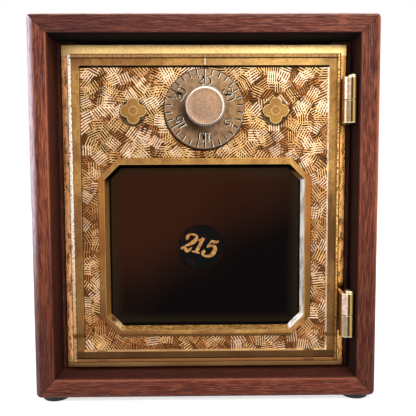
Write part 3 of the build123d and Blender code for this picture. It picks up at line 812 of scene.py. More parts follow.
@dataclass(frozen=True)
class FrameBrass(CastBrass):
    """Cast brass of the flange: painted light golden along its top, dark and streaked down its sides, with a
    painted highlight line along each.
    """

    front: float = -37.5
    reveal: float = 4.2
    foot_line: float = 15.9
    lit: Tone = (255, 214, 144)
    left_tone: Tone = (222, 154, 104)
    right_tone: Tone = (236, 168, 94)
    upper_tone: Tone = (60, 38, 20)
    foot_tone: Tone = (236, 184, 122)
    highlight_line_tone: Tone = (236, 182, 104)
    black: Tone = (20, 11, 7)
    roughness: float = 0.24

    def _flanks(self, graph: FinishGraph, flank: Socket) -> None:
        """Colour the flange's two sides, with dark streaks and a painted highlight line along each.

        Args:
            graph: The finish's graph.
            flank: The mask of the two sides.
        """
        side = graph.outline(DOOR)["Side"]
        right = graph.fade(graph.across, -10.0, 10.0)
        tone = graph.blend(right, self.left_tone, self.right_tone)
        graph.paint(flank, tone, 0.85)
        streak = graph.noise(graph.mapped(graph.vector, scale=(1, 1, 0.3)), 1.3, 4.0, 0.72)
        streak = graph.times(graph.ease(streak, 0.46, 0.60), flank)
        graph.paint(streak, self.black, 0.76)
        upper = graph.times(graph.fade(graph.rise, 118.0, 126.0), right, flank)
        graph.paint(upper, self.upper_tone, 0.45)
        # Painted highlight: a bright line along the edges of each side.
        rim = graph.times(graph.fade(side, self.reveal - 1.0, self.reveal - 0.6),
                          graph.fade(graph.across, 0.0, -10.0))
        line = graph.times(graph.fade(side, 0.95, 0.65), right)
        broken = graph.ease(graph.noise(graph.vector, 2.4, 3.0), 0.34, 0.50, 0.3, 0.9)
        line = graph.times(graph.most(rim, line), flank, broken)
        graph.paint(line, self.highlight_line_tone)

    def _crown(self, graph: FinishGraph, top: Socket, skin: Socket) -> None:
        """Break up the bright top with flecks, fine stipple, a dull corner and a painted shadow line along
        the door.

        Args:
            graph: The finish's graph.
            top: The mask of the flange's top.
            skin: The fine cast skin.
        """
        fleck = graph.times(graph.ease(graph.noise(graph.vector, 1.7, 4.0, 0.7), 0.56, 0.70), top)
        graph.paint(fleck, self.copper, 0.35)
        stipple = graph.times(graph.ease(skin, 0.48, 0.64), top)
        graph.paint(stipple, self.copper, 0.25)
        corner = graph.times(graph.fade(graph.across, -56.0, -66.0), top)
        graph.paint(corner, self.copper, 0.4)
        # Painted shadow where the door meets the flange.
        gap = graph.times(graph.fade(graph.outline(DOOR)["Distance"], 0.7, 0.35), top)
        graph.paint(gap, self.copper, 0.8)

    def shade(self, graph: FinishGraph) -> None:
        """Build the cast finish with the flange's own tones.

        Args:
            graph: The finish's graph.
        """
        rough, skin = self.base(graph)
        front = graph.fade(graph.depth, self.front + 0.3, self.front - 0.3)
        top = graph.times(graph.fade(graph.rise, DOOR.top - 0.6, DOOR.top + 0.4), front)
        flank = graph.times(graph.fade(graph.outline(DOOR)["Side"], -0.4, 0.1),
                            graph.fade(graph.rise, DOOR.top + 0.4, DOOR.top - 0.6),
                            graph.fade(graph.rise, DOOR.bottom - 0.6, DOOR.bottom + 0.6))
        # Painted light: the flange's top takes the colour of lit brass.
        graph.paint(top, self.lit, 0.97)
        self._flanks(graph, flank)
        self._crown(graph, top, skin)
        foot = graph.times(graph.fade(graph.rise, self.foot_line + 0.3, self.foot_line - 0.3), front)
        graph.paint(foot, self.foot_tone, 0.8)
        rough = graph.times(rough, graph.minus(1.0, graph.times(flank, 0.4)))
        graph.metal(rough, skin)


@dataclass(frozen=True)
class DoorBrass(CastBrass):
    """Cast brass of the door, with painted highlights on its bead and bevels, and painted shade on its field,
    its flats and its upper bevel.
    """

    bead: float = 1.9
    ornament_radius: float = 7.4
    ornament_round: float = 0.7
    polished_highlight: Tone = (246, 236, 222)
    warm_highlight: Tone = (230, 192, 140)
    crown_tone: Tone = (124, 84, 52)
    sill_tone: Tone = (136, 92, 54)
    seam_tone: Tone = (56, 34, 20)
    bead_gold: Tone = (240, 190, 108)
    bead_dull: Tone = (98, 64, 34)
    bronze: Tone = (70, 47, 28)
    field_tone: Tone = (58, 34, 15)
    olive: Tone = (88, 60, 32)
    copper_band: Tone = (150, 88, 36)
    shadow: Tone = (12, 7, 4)
    sunlit: Tone = (246, 208, 140)
    ornament: Tone = (138, 100, 54)
    reveal_tone: Tone = (176, 126, 66)
    reveal_highlight: tuple[Tone, Tone] = ((206, 192, 178), (255, 252, 250))
    reveal_lit_gold: tuple[Tone, Tone] = ((140, 96, 50), (206, 158, 88))
    reveal_corner_highlight: tuple[Tone, Tone] = ((206, 152, 76), (255, 236, 190))

    def _flats(self, graph: FinishGraph) -> None:
        """Paint light on the top flat a little, and paint shade on the right, lower left and bottom flats.

        Args:
            graph: The finish's graph.
        """
        sunny = graph.times(graph.fade(graph.across, -2.0, 6.0), graph.fade(graph.rise, 150.0, 156.0),
                            graph.fade(graph.rise, DOOR.top - self.bead, DOOR.top - self.bead - 0.6))
        graph.paint(sunny, self.sunlit, 0.15)
        flat = graph.fade(graph.outline(FIELD)["Distance"], -0.2, 0.1)
        dull = graph.noise(graph.mapped(graph.vector, scale=(1, 1, 0.4)), 9.0, 3.0)
        # Painted shade on the right flat, the lower left flat and the bottom flat.
        right = graph.times(graph.fade(graph.across, 50.0, 57.5), flat,
                            graph.ease(dull, 0.36, 0.58, 0.6, 1.0),
                            graph.fade(graph.rise, 112.0, 96.0, 0.42, 1.0))
        graph.paint(right, self.olive)
        lower_left = graph.times(graph.fade(graph.across, -56.5, -57.8), flat,
                                 graph.fade(graph.rise, 90.0, 60.0))
        graph.paint(lower_left, self.olive, 0.55)
        bottom = graph.times(graph.fade(graph.rise, FIELD.bottom + 0.4, FIELD.bottom - 0.4), flat)
        graph.paint(bottom, self.bronze, 0.9)

    def _bead(self, graph: FinishGraph) -> None:
        """Colour the bead: brown above and below, a painted highlight at the left, and gold at the right that
        fades towards the bottom.

        Args:
            graph: The finish's graph.
        """
        edge = graph.outline(DOOR)
        ridge = graph.fade(edge["Distance"], -self.bead - 0.1, -self.bead + 0.25)
        crown = graph.times(ridge, graph.fade(graph.rise, DOOR.top - 2.5, DOOR.top - 2.0))
        graph.paint(crown, self.crown_tone, 0.7)
        sill = graph.times(ridge, graph.fade(graph.rise, DOOR.bottom + 2.6, DOOR.bottom + 1.8))
        graph.paint(sill, self.sill_tone, 0.85)
        grains = graph.ease(graph.noise(graph.vector, 0.9, 2.0), 0.40, 0.52)
        graph.paint(graph.times(crown, grains), self.sunlit, 0.2)
        flank = graph.times(graph.fade(graph.across, 60.0, 61.2), ridge)
        graph.paint(flank, self.bead_dull, 0.85)
        # The gold crest on the right bead fades towards the bottom: painted shade.
        crest = graph.fade(graph.size(graph.plus(edge["Side"], 1.0 * MM)), 0.50, 0.20)
        crest = graph.times(crest, grains, graph.fade(graph.rise, 25.0, 90.0, 0.25, 1.0), flank)
        graph.paint(crest, self.bead_gold)
        # Painted highlight along the left bead, brighter towards the top and broken by fine flecks.
        bright = graph.blend(graph.fade(graph.rise, 35.0, 95.0), self.warm_highlight, self.polished_highlight)
        left = graph.times(graph.fade(edge["Side"], -self.bead - 0.1, -self.bead + 0.2),
                           graph.fade(graph.across, 20.0, -60.0), self._fleck(graph),
                           graph.fade(graph.rise, 15.0, 80.0, 0.4, 0.85))
        graph.paint(left, bright)
        seam = graph.fade(graph.size(graph.plus(edge["Rise"], (self.bead + 0.05) * MM)), 0.38, 0.15)
        seam = graph.times(seam, graph.fade(edge["Side"], -0.6, -1.4))
        graph.paint(seam, self.seam_tone, 0.8)

    def _bevels(self, graph: FinishGraph) -> None:
        """Paint light and shade on the bevels round the sunk field: a white highlight at the right, a gold
        highlight below and shadow above.

        Args:
            graph: The finish's graph.
        """
        inner = graph.outline(FIELD)
        side, rise = inner["Side"], inner["Rise"]
        # Painted highlight on the right bevel.
        lip = graph.times(graph.fade(side, -0.75, -0.6), graph.fade(side, 0.05, -0.12),
                          graph.fade(rise, 0.05, -0.15), graph.fade(graph.across, 30.0, 50.0),
                          graph.ease(self._fleck(graph), 0.0, 1.0, 0.55, 1.0))
        graph.paint(lip, self.polished_highlight)
        across_field = graph.fade(side, 0.2, -0.2)
        # Painted highlight on the bottom bevel.
        ledge = graph.times(graph.fade(rise, -0.75, -0.6), graph.fade(rise, 0.05, -0.12), across_field,
                            graph.fade(graph.rise, 40.0, 30.0))
        graph.paint(ledge, self.warm_highlight, 0.85)
        # Painted shadow on the top bevel.
        ceiling = graph.times(graph.fade(rise, -0.95, -0.75), graph.fade(rise, 0.1, -0.1), across_field,
                              graph.fade(graph.rise, 100.0, 120.0))
        graph.paint(ceiling, self.shadow, 0.95)

    def _field(self, graph: FinishGraph) -> None:
        """Paint shade on the sunk field under its hatching, and darken the band at the window's sides and
        sill.

        Args:
            graph: The finish's graph.
        """
        # Painted shade in the gaps between the hatched patches.
        sunk = graph.fade(graph.size(graph.minus(graph.depth, FIELD_FRONT * MM)), 0.2, 0.1)
        sunk = graph.times(sunk, graph.fade(graph.outline(FIELD)["Distance"], -0.5, -0.8))
        graph.paint(sunk, self.field_tone, 0.9)
        wide = graph.size(graph.across)
        band = graph.times(graph.fade(wide, WINDOW.half_width - 0.5, WINDOW.half_width + 0.8),
                           graph.fade(wide, WINDOW.half_width + 5.3, WINDOW.half_width + 4.1),
                           graph.fade(graph.rise, 113.0, 108.0),
                           graph.fade(graph.across, -40.0, 40.0, 0.55, 0.85))
        tone = graph.blend(graph.fade(graph.rise, 45.0, 95.0), self.olive, self.copper_band)
        graph.paint(band, tone)
        sill = graph.times(graph.fade(graph.rise, 29.9, 29.3), graph.fade(graph.rise, 27.4, 28.0),
                           graph.fade(graph.depth, FIELD_FRONT - 0.1, FIELD_FRONT - 0.3))
        graph.paint(sill, self.olive, 0.95)

    def _ornaments(self, graph: FinishGraph) -> None:
        """Dull the two raised ornaments, and paint highlights on their rounded edges.

        Args:
            graph: The finish's graph.
        """
        radius = graph.turned(ORNAMENT_ACROSS, ORNAMENT_RISE, graph.mirrored())["Radius"]
        badge = graph.times(graph.fade(radius, self.ornament_radius + 0.2, self.ornament_radius - 0.2),
                            graph.fade(graph.depth, FIELD_FRONT - 0.15, FIELD_FRONT - 0.35))
        graph.paint(badge, self.ornament, 0.55)
        # Painted highlight on the ornaments' rounded edges.
        rubbed = graph.times(graph.relief(self.ornament_round)["Edge"], badge)
        graph.paint(rubbed, self.sunlit, 0.9)

    def _reveals(self, graph: FinishGraph) -> None:
        """Paint light and shade on the window's reveals: a white highlight at the right, lit gold below with
        a highlight at its left corner, and shadow above.

        Args:
            graph: The finish's graph.
        """
        across = graph.across
        lift = graph.minus(graph.rise, WINDOW.middle * MM)
        wide, high = graph.size(across), graph.size(lift)
        slope = graph.times(graph.minus(graph.plus(wide, high), WINDOW.reach * MM), math.sqrt(0.5))
        gap = graph.most(graph.minus(wide, WINDOW.half_width * MM),
                         graph.minus(high, WINDOW.half_height * MM), slope)
        wall = graph.times(graph.fade(gap, 0.3, 0.1),
                           graph.fade(graph.depth, DOOR_FRONT - 0.15, DOOR_FRONT + 0.05))
        striped = graph.noise(graph.mapped(graph.vector, scale=(0.45, 1, 1)), 0.8, 3.0, 0.7)
        striped = graph.ease(striped, 0.40, 0.60)
        marks = graph.ease(graph.noise(graph.mapped(graph.vector, scale=(1, 1, 0.2)), 1.6, 3.0), 0.34, 0.54)
        left = graph.fade(across, -44.0, -44.8)
        floor = graph.fade(lift, -34.0, -37.0)
        right = graph.most(graph.times(graph.fade(across, 44.0, 44.8), graph.fade(lift, 33.0, 31.8)),
                           graph.times(graph.fade(across, 39.0, 40.2), graph.fade(lift, -31.8, -33.0)))
        left_corner = graph.times(floor, graph.fade(across, -38.0, -41.0))
        roof = graph.most(graph.fade(lift, 34.0, 37.2),
                          graph.times(graph.fade(lift, 28.0, 33.0), graph.fade(across, -36.0, -40.0)))
        # Painted light and shade: highlights on the right and lower reveals, shadow on the top one.
        for place, tone in ((left, self.reveal_tone),
                            (floor, graph.blend(striped, *self.reveal_lit_gold)),
                            (right, graph.blend(marks, *self.reveal_highlight)),
                            (left_corner, graph.blend(striped, *self.reveal_corner_highlight)),
                            (roof, self.shadow)):
            graph.paint(graph.times(wall, place), tone)

    @staticmethod
    def _fleck(graph: FinishGraph) -> Socket:
        """The fine breaks in a painted highlight along an edge."""
        return graph.ease(graph.noise(graph.vector, 0.8, 2.0), 0.35, 0.5)

    def shade(self, graph: FinishGraph) -> None:
        """Build the cast finish with the door's own tones, laid one over the other.

        Args:
            graph: The finish's graph.
        """
        rough, skin = self.base(graph)
        for layer in (self._flats, self._bead, self._bevels, self._field, self._ornaments, self._reveals):
            layer(graph)
        graph.metal(rough, skin)


@dataclass(frozen=True)
class HatchedBrass(Finish):
    """Brass of the hatched field: each patch has its own tone, from brown to white, painted as the highlight
    and shade that the patch catches.
    """

    # The brightest tones are painted highlights, the darkest grooves painted shade.
    ridges: tuple[Tone, ...] = ((112, 70, 38), (188, 124, 72), (246, 198, 134), (255, 238, 208))
    grooves: tuple[Tone, ...] = ((20, 9, 4), (44, 20, 8), (8, 3, 1), (214, 152, 98))
    dull: Tone = (126, 76, 40)
    shadow: Tone = (10, 6, 3)
    dial_radius: float = 18.3
    ornament_radius: float = 6.1

    @staticmethod
    def _patches(graph: FinishGraph, tone: Socket, tones: Sequence[Tone]) -> Socket:
        """Pick a patch's colour by its tone.

        Args:
            graph: The finish's graph.
            tone: The patch's tone, from 0 to 1.
            tones: Four colours from the darkest to the brightest.

        Returns:
            The colour.
        """
        colour = graph.blend(graph.ease(tone, 0.14, 0.19), tones[0], tones[1])
        colour = graph.blend(graph.ease(tone, 0.34, 0.44), colour, tones[2])
        return graph.blend(graph.ease(tone, 0.66, 0.76), colour, tones[3])

    def _painted_shadow(self, graph: FinishGraph) -> Socket:
        """Painted shadow under the top edge, round the dial and below the ornaments.

        Args:
            graph: The finish's graph.

        Returns:
            Its mask.
        """
        top = graph.fade(graph.rise, FIELD.top - 1.1, FIELD.top - 0.8)
        dial = graph.turned(-0.35, DIAL_RISE - 0.45)["Radius"]
        rim = graph.fade(dial, self.dial_radius + 0.6, self.dial_radius + 0.3)
        badge = graph.turned(ORNAMENT_ACROSS, ORNAMENT_RISE - 0.9, graph.mirrored(0.3))["Radius"]
        under = graph.fade(badge, self.ornament_radius + 0.4, self.ornament_radius)
        return graph.most(top, rim, graph.times(under, 0.85))

    def shade(self, graph: FinishGraph) -> None:
        """Build the finish from the tone of each patch and the depth of its grooves, which take painted
        shade.

        Args:
            graph: The finish's graph.
        """
        patina = graph.patina()
        # Painted shade: patches turn darker and duller towards the bottom, with blotches.
        low = graph.fade(graph.rise, 118.0, 90.0)
        tone = graph.minus(graph.attribute("tone"), graph.times(low, 0.10))
        # Painted shade in the grooves between the ridges.
        grime_and_shade = graph.plus(graph.attribute("groove"), graph.times(patina["Skin"], 0.3))
        grime_and_shade = graph.ease(grime_and_shade, 0.20, 0.44)
        graph.colour = graph.blend(grime_and_shade, self._patches(graph, tone, self.ridges),
                                   self._patches(graph, tone, self.grooves))
        lower_shade_and_blotch = graph.plus(graph.times(low, 0.34), graph.times(patina["Blotch"], 0.22), clamp=True)
        graph.paint(lower_shade_and_blotch, self.dull)
        # Painted shadow cast by the top edge, the dial and the ornaments.
        graph.paint(self._painted_shadow(graph), self.shadow, 0.95)
        graph.metal(graph.ease(grime_and_shade, 0.0, 1.0, 0.28, 0.75), patina["Skin"], 0.04)


@dataclass(frozen=True)
class WornNickel(Finish):
    """Nickel plate worn towards brass, turned on a lathe, with painted shadow round the knob."""

    silver: Tone = (134, 105, 82)
    worn: Tone = (152, 116, 78)
    grime_and_shade: Tone = (44, 29, 20)
    rubbed: Tone = (244, 230, 206)
    dark_from: float = 15.5
    dark_to: float = 8.7
    dark_share: float = 0.95
    top_share: float = 0.06
    corner_reach: float = 1.5
    cloud_size: float = 2.4
    rim_from: float = 30.0
    rim_highlight_share: float = 0.0
    roughness: float = 0.36

    def shade(self, graph: FinishGraph) -> None:
        """Build the finish round the dial's axis.

        Args:
            graph: The finish's graph.
        """
        patina = graph.patina()
        relief = graph.relief(0.3, self.corner_reach)
        turned = graph.turned(0.0, DIAL_RISE)
        lift = graph.minus(graph.rise, DIAL_RISE * MM)
        right = graph.fade(graph.plus(graph.across, lift), -12.0, 16.0)
        wear = graph.times(graph.plus(patina["Blotch"], right), 0.5)
        graph.colour = graph.blend(wear, self.silver, self.worn)
        cloud = graph.ease(graph.noise(graph.vector, self.cloud_size, 3.0, 0.62), 0.42, 0.64)
        graph.paint(cloud, self.grime_and_shade, 0.45)
        graph.paint(graph.fade(graph.rise, 141.0, 149.0), self.rubbed, self.top_share)
        # Painted shadow of the knob at its lower left, with fine specks of soiling.
        knob_shadow_and_specks = graph.times(graph.fade(turned["Radius"], self.dark_from, self.dark_to),
                           graph.fade(graph.plus(graph.across, graph.times(lift, 0.75)), 1.0, -12.0),
                           self.dark_share)
        knob_shadow_and_specks = graph.plus(knob_shadow_and_specks, graph.times(patina["Speck"], 0.35), clamp=True)
        graph.paint(knob_shadow_and_specks, self.grime_and_shade)
        # Painted highlight on the knob's rim, stronger at its left, and on rubbed edges.
        rim = graph.times(graph.fade(turned["Radius"], self.rim_from, self.rim_from + 0.3),
                          graph.fade(graph.across, 5.0, -5.0, 0.7, 1.0), self.rim_highlight_share)
        graph.paint(graph.most(relief["Edge"], rim), self.rubbed)
        # Painted shade in corners and between the knob's teeth, with soiling.
        graph.paint(relief["Corner"], self.grime_and_shade, 0.85)
        rings = turned["Rings"]
        rough = graph.ease(rings, 0.2, 0.8, self.roughness - 0.07, self.roughness + 0.1)
        graph.metal(rough, graph.plus(graph.times(rings, 0.5), patina["Skin"]), 0.018)


@dataclass(frozen=True)
class HingeBrass(Finish):
    """Brass of the hinge knuckles: coppery, then a painted silver highlight, then a painted dark reflection,
    then gold.
    """

    gold: Tone = (170, 134, 76)
    silver: Tone = (204, 180, 164)
    dull_silver: Tone = (150, 136, 112)
    copper: Tone = (146, 104, 66)
    tarnish_and_shade: Tone = (58, 42, 26)
    bright: Tone = (255, 244, 206)
    middle: float = 66.7
    knuckle: float = 2.3
    length: float = 10.2
    joints: tuple[float, float] = (138.0, 39.6)

    def shade(self, graph: FinishGraph) -> None:
        """Build the finish in strips across the knuckles, and by the height from each joint.

        Args:
            graph: The finish's graph.
        """
        patina = graph.patina((1, 1, 0.25))
        relief = graph.relief(corner=1.0)
        part = graph.math("DIVIDE", graph.minus(graph.across, self.middle * MM), self.knuckle * MM)
        upper, lower = (graph.minus(graph.rise, joint * MM) for joint in self.joints)
        is_upper = graph.fade(graph.rise, 88.0, 90.0)
        above = graph.plus(graph.times(upper, is_upper),
                           graph.times(lower, graph.minus(1.0, is_upper)))
        # Painted highlight: the silver strip of each knuckle.
        silver = graph.blend(graph.fade(above, 0.2, -0.2), self.silver, self.dull_silver)
        graph.colour = graph.blend(graph.ease(part, -0.36, -0.48), self.gold, silver)
        worn = graph.ease(graph.noise(graph.vector, 1.6, 3.0), 0.42, 0.58, 0.0, 0.5)
        left = graph.times(graph.most(graph.ease(part, -1.54, -1.70), worn),
                           graph.ease(part, -0.3, -0.5))
        graph.paint(left, self.copper)
        # Painted dark reflection down each knuckle, with soiling in corners and specks.
        band = graph.times(graph.ease(part, -0.64, -0.50), graph.ease(part, -0.06, -0.20), 0.95)
        dark_reflection_and_dirt = graph.most(band, graph.times(relief["Corner"], 0.8), graph.times(patina["Speck"], 0.55))
        graph.paint(dark_reflection_and_dirt, self.tarnish_and_shade)
        height = graph.size(above)
        # Painted highlights at the knuckles' ends.
        rim_highlights = graph.most(graph.fade(height, 0.45, 0.25, 0.0, 0.35),
                          graph.fade(height, self.length - 0.5, self.length - 0.25))
        graph.paint(rim_highlights, self.bright, 0.55)
        graph.metal(graph.ease(dark_reflection_and_dirt, 0.0, 1.0, 0.3, 0.6), patina["Skin"])


@dataclass(frozen=True)
class MachinedMetal(Finish):
    """Sawn and filed sheet metal of the lock, with fine brushing, lightly tarnished, with painted shade in
    its corners and painted highlights on its edges.
    """

    tone: Tone
    stain: Tone
    brushed: Point = (0.06, 1.0, 1.0)
    roughness: float = 0.3
    stain_share: float = 0.5
    edge_gain: int = 45

    def shade(self, graph: FinishGraph) -> None:
        """Build the finish with its brushing along one axis.

        Args:
            graph: The finish's graph.
        """
        patina = graph.patina()
        relief = graph.relief(0.25)
        lines = graph.noise(graph.mapped(graph.vector, scale=self.brushed), 0.35, 2.0, 0.6)
        stain_and_corner_shade = graph.plus(graph.times(patina["Blotch"], self.stain_share),
                             graph.times(patina["Speck"], 0.3))
        # Painted shade in the piece's corners, with its stains.
        stain_and_corner_shade = graph.plus(stain_and_corner_shade, graph.times(relief["Corner"], 0.6), clamp=True)
        graph.colour = graph.blend(stain_and_corner_shade, self.tone, self.stain)
        # Rubbed edges, worn and with a painted highlight.
        bright = tuple(min(255, value + self.edge_gain) for value in self.tone)
        graph.paint(relief["Edge"], bright)
        rough = graph.ease(lines, 0.2, 0.8, self.roughness - 0.08, self.roughness + 0.14)
        graph.metal(rough, lines, 0.012)


@dataclass(frozen=True)
class StainedWood(Finish):
    """Stained reddish-brown hardwood under satin varnish, one board at a time."""

    grain: Grain
    face: Tone
    glow: Tone
    streak: Tone
    shift: Point
    inner: Tone = (50, 22, 20)
    pore: Tone = (42, 17, 14)
    fibre: Tone = (170, 98, 72)
    painted_shade: Tone = (26, 8, 8)
    lip_highlight: Tone = (176, 100, 72)
    rim_highlight: Tone = (176, 106, 88)
    front: float = -51.6
    board: float = 9.2
    streak_share: float = 0.5
    fibre_share: float = 0.55
    pore_share: float = 0.6
    recess_shade_share: float = 0.75
    mitre_share: float = 0.75
    lip_highlight_share: float = 0.6
    rim_highlight_share: float = 0.5
    rim_highlight_width: float = 1.8
    shade_low: float = 0.0
    shade_left: float = 0.0
    highlight_and_coat_low: float = 1.0
    coat: float = 0.12

    def _edges(self, graph: FinishGraph, away: Socket, varnish: Socket) -> None:
        """Painted highlight along the board's outer rounding, and a painted highlight line on its inner edge.

        Args:
            graph: The finish's graph.
            away: How far a point lies outside the case's outline.
            varnish: How much of the painted highlight is kept, less lower down the board.
        """
        # Painted highlight on the outer rounding.
        rim = graph.times(graph.fade(away, -self.rim_highlight_width, -0.4 * self.rim_highlight_width),
                          graph.fade(graph.depth, self.front + 3.4, self.front + 1.6), varnish)
        graph.paint(rim, self.rim_highlight, self.rim_highlight_share)
        # Painted highlight on the inner edge.
        lip = graph.times(graph.fade(away, 1.2 - self.board, 0.7 - self.board),
                          graph.fade(graph.depth, self.front + 1.3, self.front + 0.8), varnish)
        graph.paint(lip, self.lip_highlight, self.lip_highlight_share)

    def shade(self, graph: FinishGraph) -> None:
        """Build the board's grain, its painted shade and edge highlights, and the varnish over them.

        Args:
            graph: The finish's graph.
        """
        run = graph.mapped(graph.vector, shift=self.shift, turn=self.grain.value)
        grain = graph.group(graph.groups.wood, Vector=run)
        edge = graph.outline(CASE)
        graph.colour = graph.blend(grain["Figure"], self.face, self.glow)
        graph.paint(grain["Streak"], self.streak, self.streak_share)
        fibre = graph.noise(graph.mapped(run, scale=(0.06, 1, 1)), 0.5, 4.0, 0.7)
        graph.paint(graph.ease(fibre, 0.46, 0.60), self.fibre, self.fibre_share)
        # Painted shade: darker towards the bottom and the left.
        painted_shade = graph.plus(graph.fade(graph.rise, 122.0, 8.0, 0.0, self.shade_low),
                          graph.fade(graph.across, 60.0, -70.0, 0.0, self.shade_left))
        graph.paint(painted_shade, self.painted_shade)
        # The painted edge highlights and the varnish coat both fade towards the bottom.
        kept = graph.fade(graph.rise, 40.0, 105.0, self.highlight_and_coat_low, 1.0)
        thin = graph.times(graph.ease(grain["Streak"], 0.0, 1.0, 1.0, 0.75), kept)
        self._edges(graph, edge["Distance"], thin)
        graph.paint(grain["Pore"], self.pore, self.pore_share)
        # Painted shade on the walls of the recess.
        inside = graph.fade(edge["Distance"], 0.7 - self.board, 0.1 - self.board, 0.0, self.recess_shade_share)
        graph.paint(inside, self.inner)
        mitre = graph.size(graph.minus(edge["Side"], edge["Rise"]))
        line = graph.fade(mitre, 0.42, 0.10, 0.0, self.mitre_share)
        graph.paint(line, self.pore)
        # Painted shade in the board's corners.
        graph.paint(graph.relief(0.8, 4.0)["Corner"], self.pore, 0.5)
        rough = graph.most(graph.ease(grain["Pore"], 0.0, 1.0, 0.42, 0.62), graph.times(inside, 0.98))
        height = graph.plus(graph.times(grain["Pore"], -1.0), graph.times(grain["Streak"], -0.5))
        graph.surface(rough, graph.minus(height, line), 0.06)
        varnish = graph.times(graph.minus(1.0, inside, clamp=True), kept)
        graph.fill(graph.shader, {"Coat Weight": graph.times(varnish, self.coat), "Coat Roughness": 0.22,
                                  "Specular IOR Level": 0.12})


@dataclass(frozen=True)
class SmokedGlass(Finish):
    """Dark old window glass with a painted warm light and a film of dust at its edge."""

    warm: Tone = (50, 24, 12)
    dark: Tone = (5, 3, 3)
    film: Tone = (48, 38, 22)

    def shade(self, graph: FinishGraph) -> None:
        """Build the painted warm light that rises to the upper left, the film and the painted shadow lines at
        its edges.

        Args:
            graph: The finish's graph.
        """
        lift = graph.minus(graph.rise, WINDOW.middle * MM)
        cloud = graph.times(graph.noise(graph.vector, 40.0, 1.0), 0.03)
        # Painted warm light, rising to the upper left.
        glow = graph.plus(graph.minus(lift, graph.times(graph.across, 0.6)), cloud)
        graph.colour = graph.blend(graph.fade(glow, -8.0, 48.0), self.dark, self.warm)
        edge = graph.outline(WINDOW)
        graph.paint(graph.fade(edge["Distance"], -9.0, -1.5), self.film, 0.55)
        # Painted shadow lines along the sides and the sill.
        side_line = graph.fade(edge["Side"], -2.9, -2.4)
        sill_line = graph.fade(lift, -35.6, -36.2)
        graph.paint(graph.most(side_line, sill_line), self.dark)
        dust = graph.ease(graph.noise(graph.vector, 0.6, 3.0), 0.4, 0.8, 0.06, 0.16)
        graph.fill(graph.shader, {"Base Color": graph.colour, "Roughness": dust,
                                  "Specular IOR Level": 0.02})


@dataclass(frozen=True)
class Paint(Finish):
    """A thin coat of enamel, gilding or rubber: one tone worn towards another."""

    tone: Tone
    worn: Tone
    wear_size: float = 1.6
    wear_low: float = 0.52
    wear_high: float = 0.68
    roughness: float = 0.4
    metallic: float = 0.0
    specular: float = 0.5
    bump: float = 0.02

    def shade(self, graph: FinishGraph) -> None:
        """Build the coat with its worn spots.

        Args:
            graph: The finish's graph.
        """
        skin = graph.patina()["Skin"]
        rubbed = graph.ease(graph.noise(graph.vector, self.wear_size, 3.0, 0.6), self.wear_low,
                            self.wear_high)
        graph.colour = graph.blend(rubbed, self.tone, self.worn)
        rough = graph.ease(skin, 0.2, 0.8, self.roughness - 0.08, self.roughness + 0.12)
        graph.surface(rough, skin, self.bump)
        graph.fill(graph.shader, {"Metallic": self.metallic, "Specular IOR Level": self.specular})


# ------------------------------------------------------------------ digits
GLYPHS: dict[str, tuple[Stroke, ...]] = {
    "0": (
        ((0.31, 1.05, 0.035), (0.55, 1.02, 0.05), (0.62, 0.5, 0.105), (0.55, -0.02, 0.05),
         (0.31, -0.05, 0.035), (0.07, -0.02, 0.05), (0.0, 0.5, 0.105), (0.07, 1.02, 0.05)),
    ),
    "1": (
        ((0.32, 0.0, 0.085), (0.32, 0.5, 0.08), (0.32, 0.99, 0.07)),
        ((0.10, 0.76, 0.03), (0.20, 0.82, 0.05), (0.31, 0.97, 0.06)),
        ((0.06, 0.03, 0.03), (0.32, 0.03, 0.05), (0.58, 0.03, 0.03)),
    ),
    "2": (
        ((0.16, 0.68, 0.06), (0.08, 0.74, 0.09), (0.06, 0.98, 0.05), (0.34, 1.08, 0.04),
         (0.62, 0.98, 0.08), (0.58, 0.60, 0.10), (0.34, 0.36, 0.055), (0.08, 0.12, 0.03)),
        ((0.04, 0.03, 0.04), (0.20, 0.17, 0.07), (0.42, -0.03, 0.095),
         (0.58, 0.04, 0.06), (0.62, 0.26, 0.025)),
    ),
    "3": (
        ((0.15, 0.72, 0.06), (0.07, 0.80, 0.09), (0.10, 1.02, 0.05), (0.36, 1.07, 0.045),
         (0.60, 0.96, 0.085), (0.54, 0.60, 0.08), (0.24, 0.54, 0.03)),
        ((0.24, 0.54, 0.03), (0.60, 0.55, 0.06), (0.68, 0.16, 0.11), (0.46, -0.07, 0.055),
         (0.14, -0.06, 0.05), (0.0, 0.12, 0.08), (0.10, 0.25, 0.08)),
    ),
    "5": (
        ((0.15, 0.93, 0.05), (0.34, 0.90, 0.08), (0.52, 0.94, 0.06), (0.58, 1.03, 0.025)),
        ((0.16, 0.94, 0.04), (0.13, 0.72, 0.035), (0.10, 0.48, 0.03)),
        ((0.10, 0.48, 0.03), (0.28, 0.70, 0.045), (0.62, 0.60, 0.095), (0.66, 0.14, 0.105),
         (0.42, -0.07, 0.055), (0.12, -0.06, 0.05), (0.0, 0.12, 0.08), (0.10, 0.25, 0.08)),
    ),
}
CLOSED_GLYPHS = ("0",)


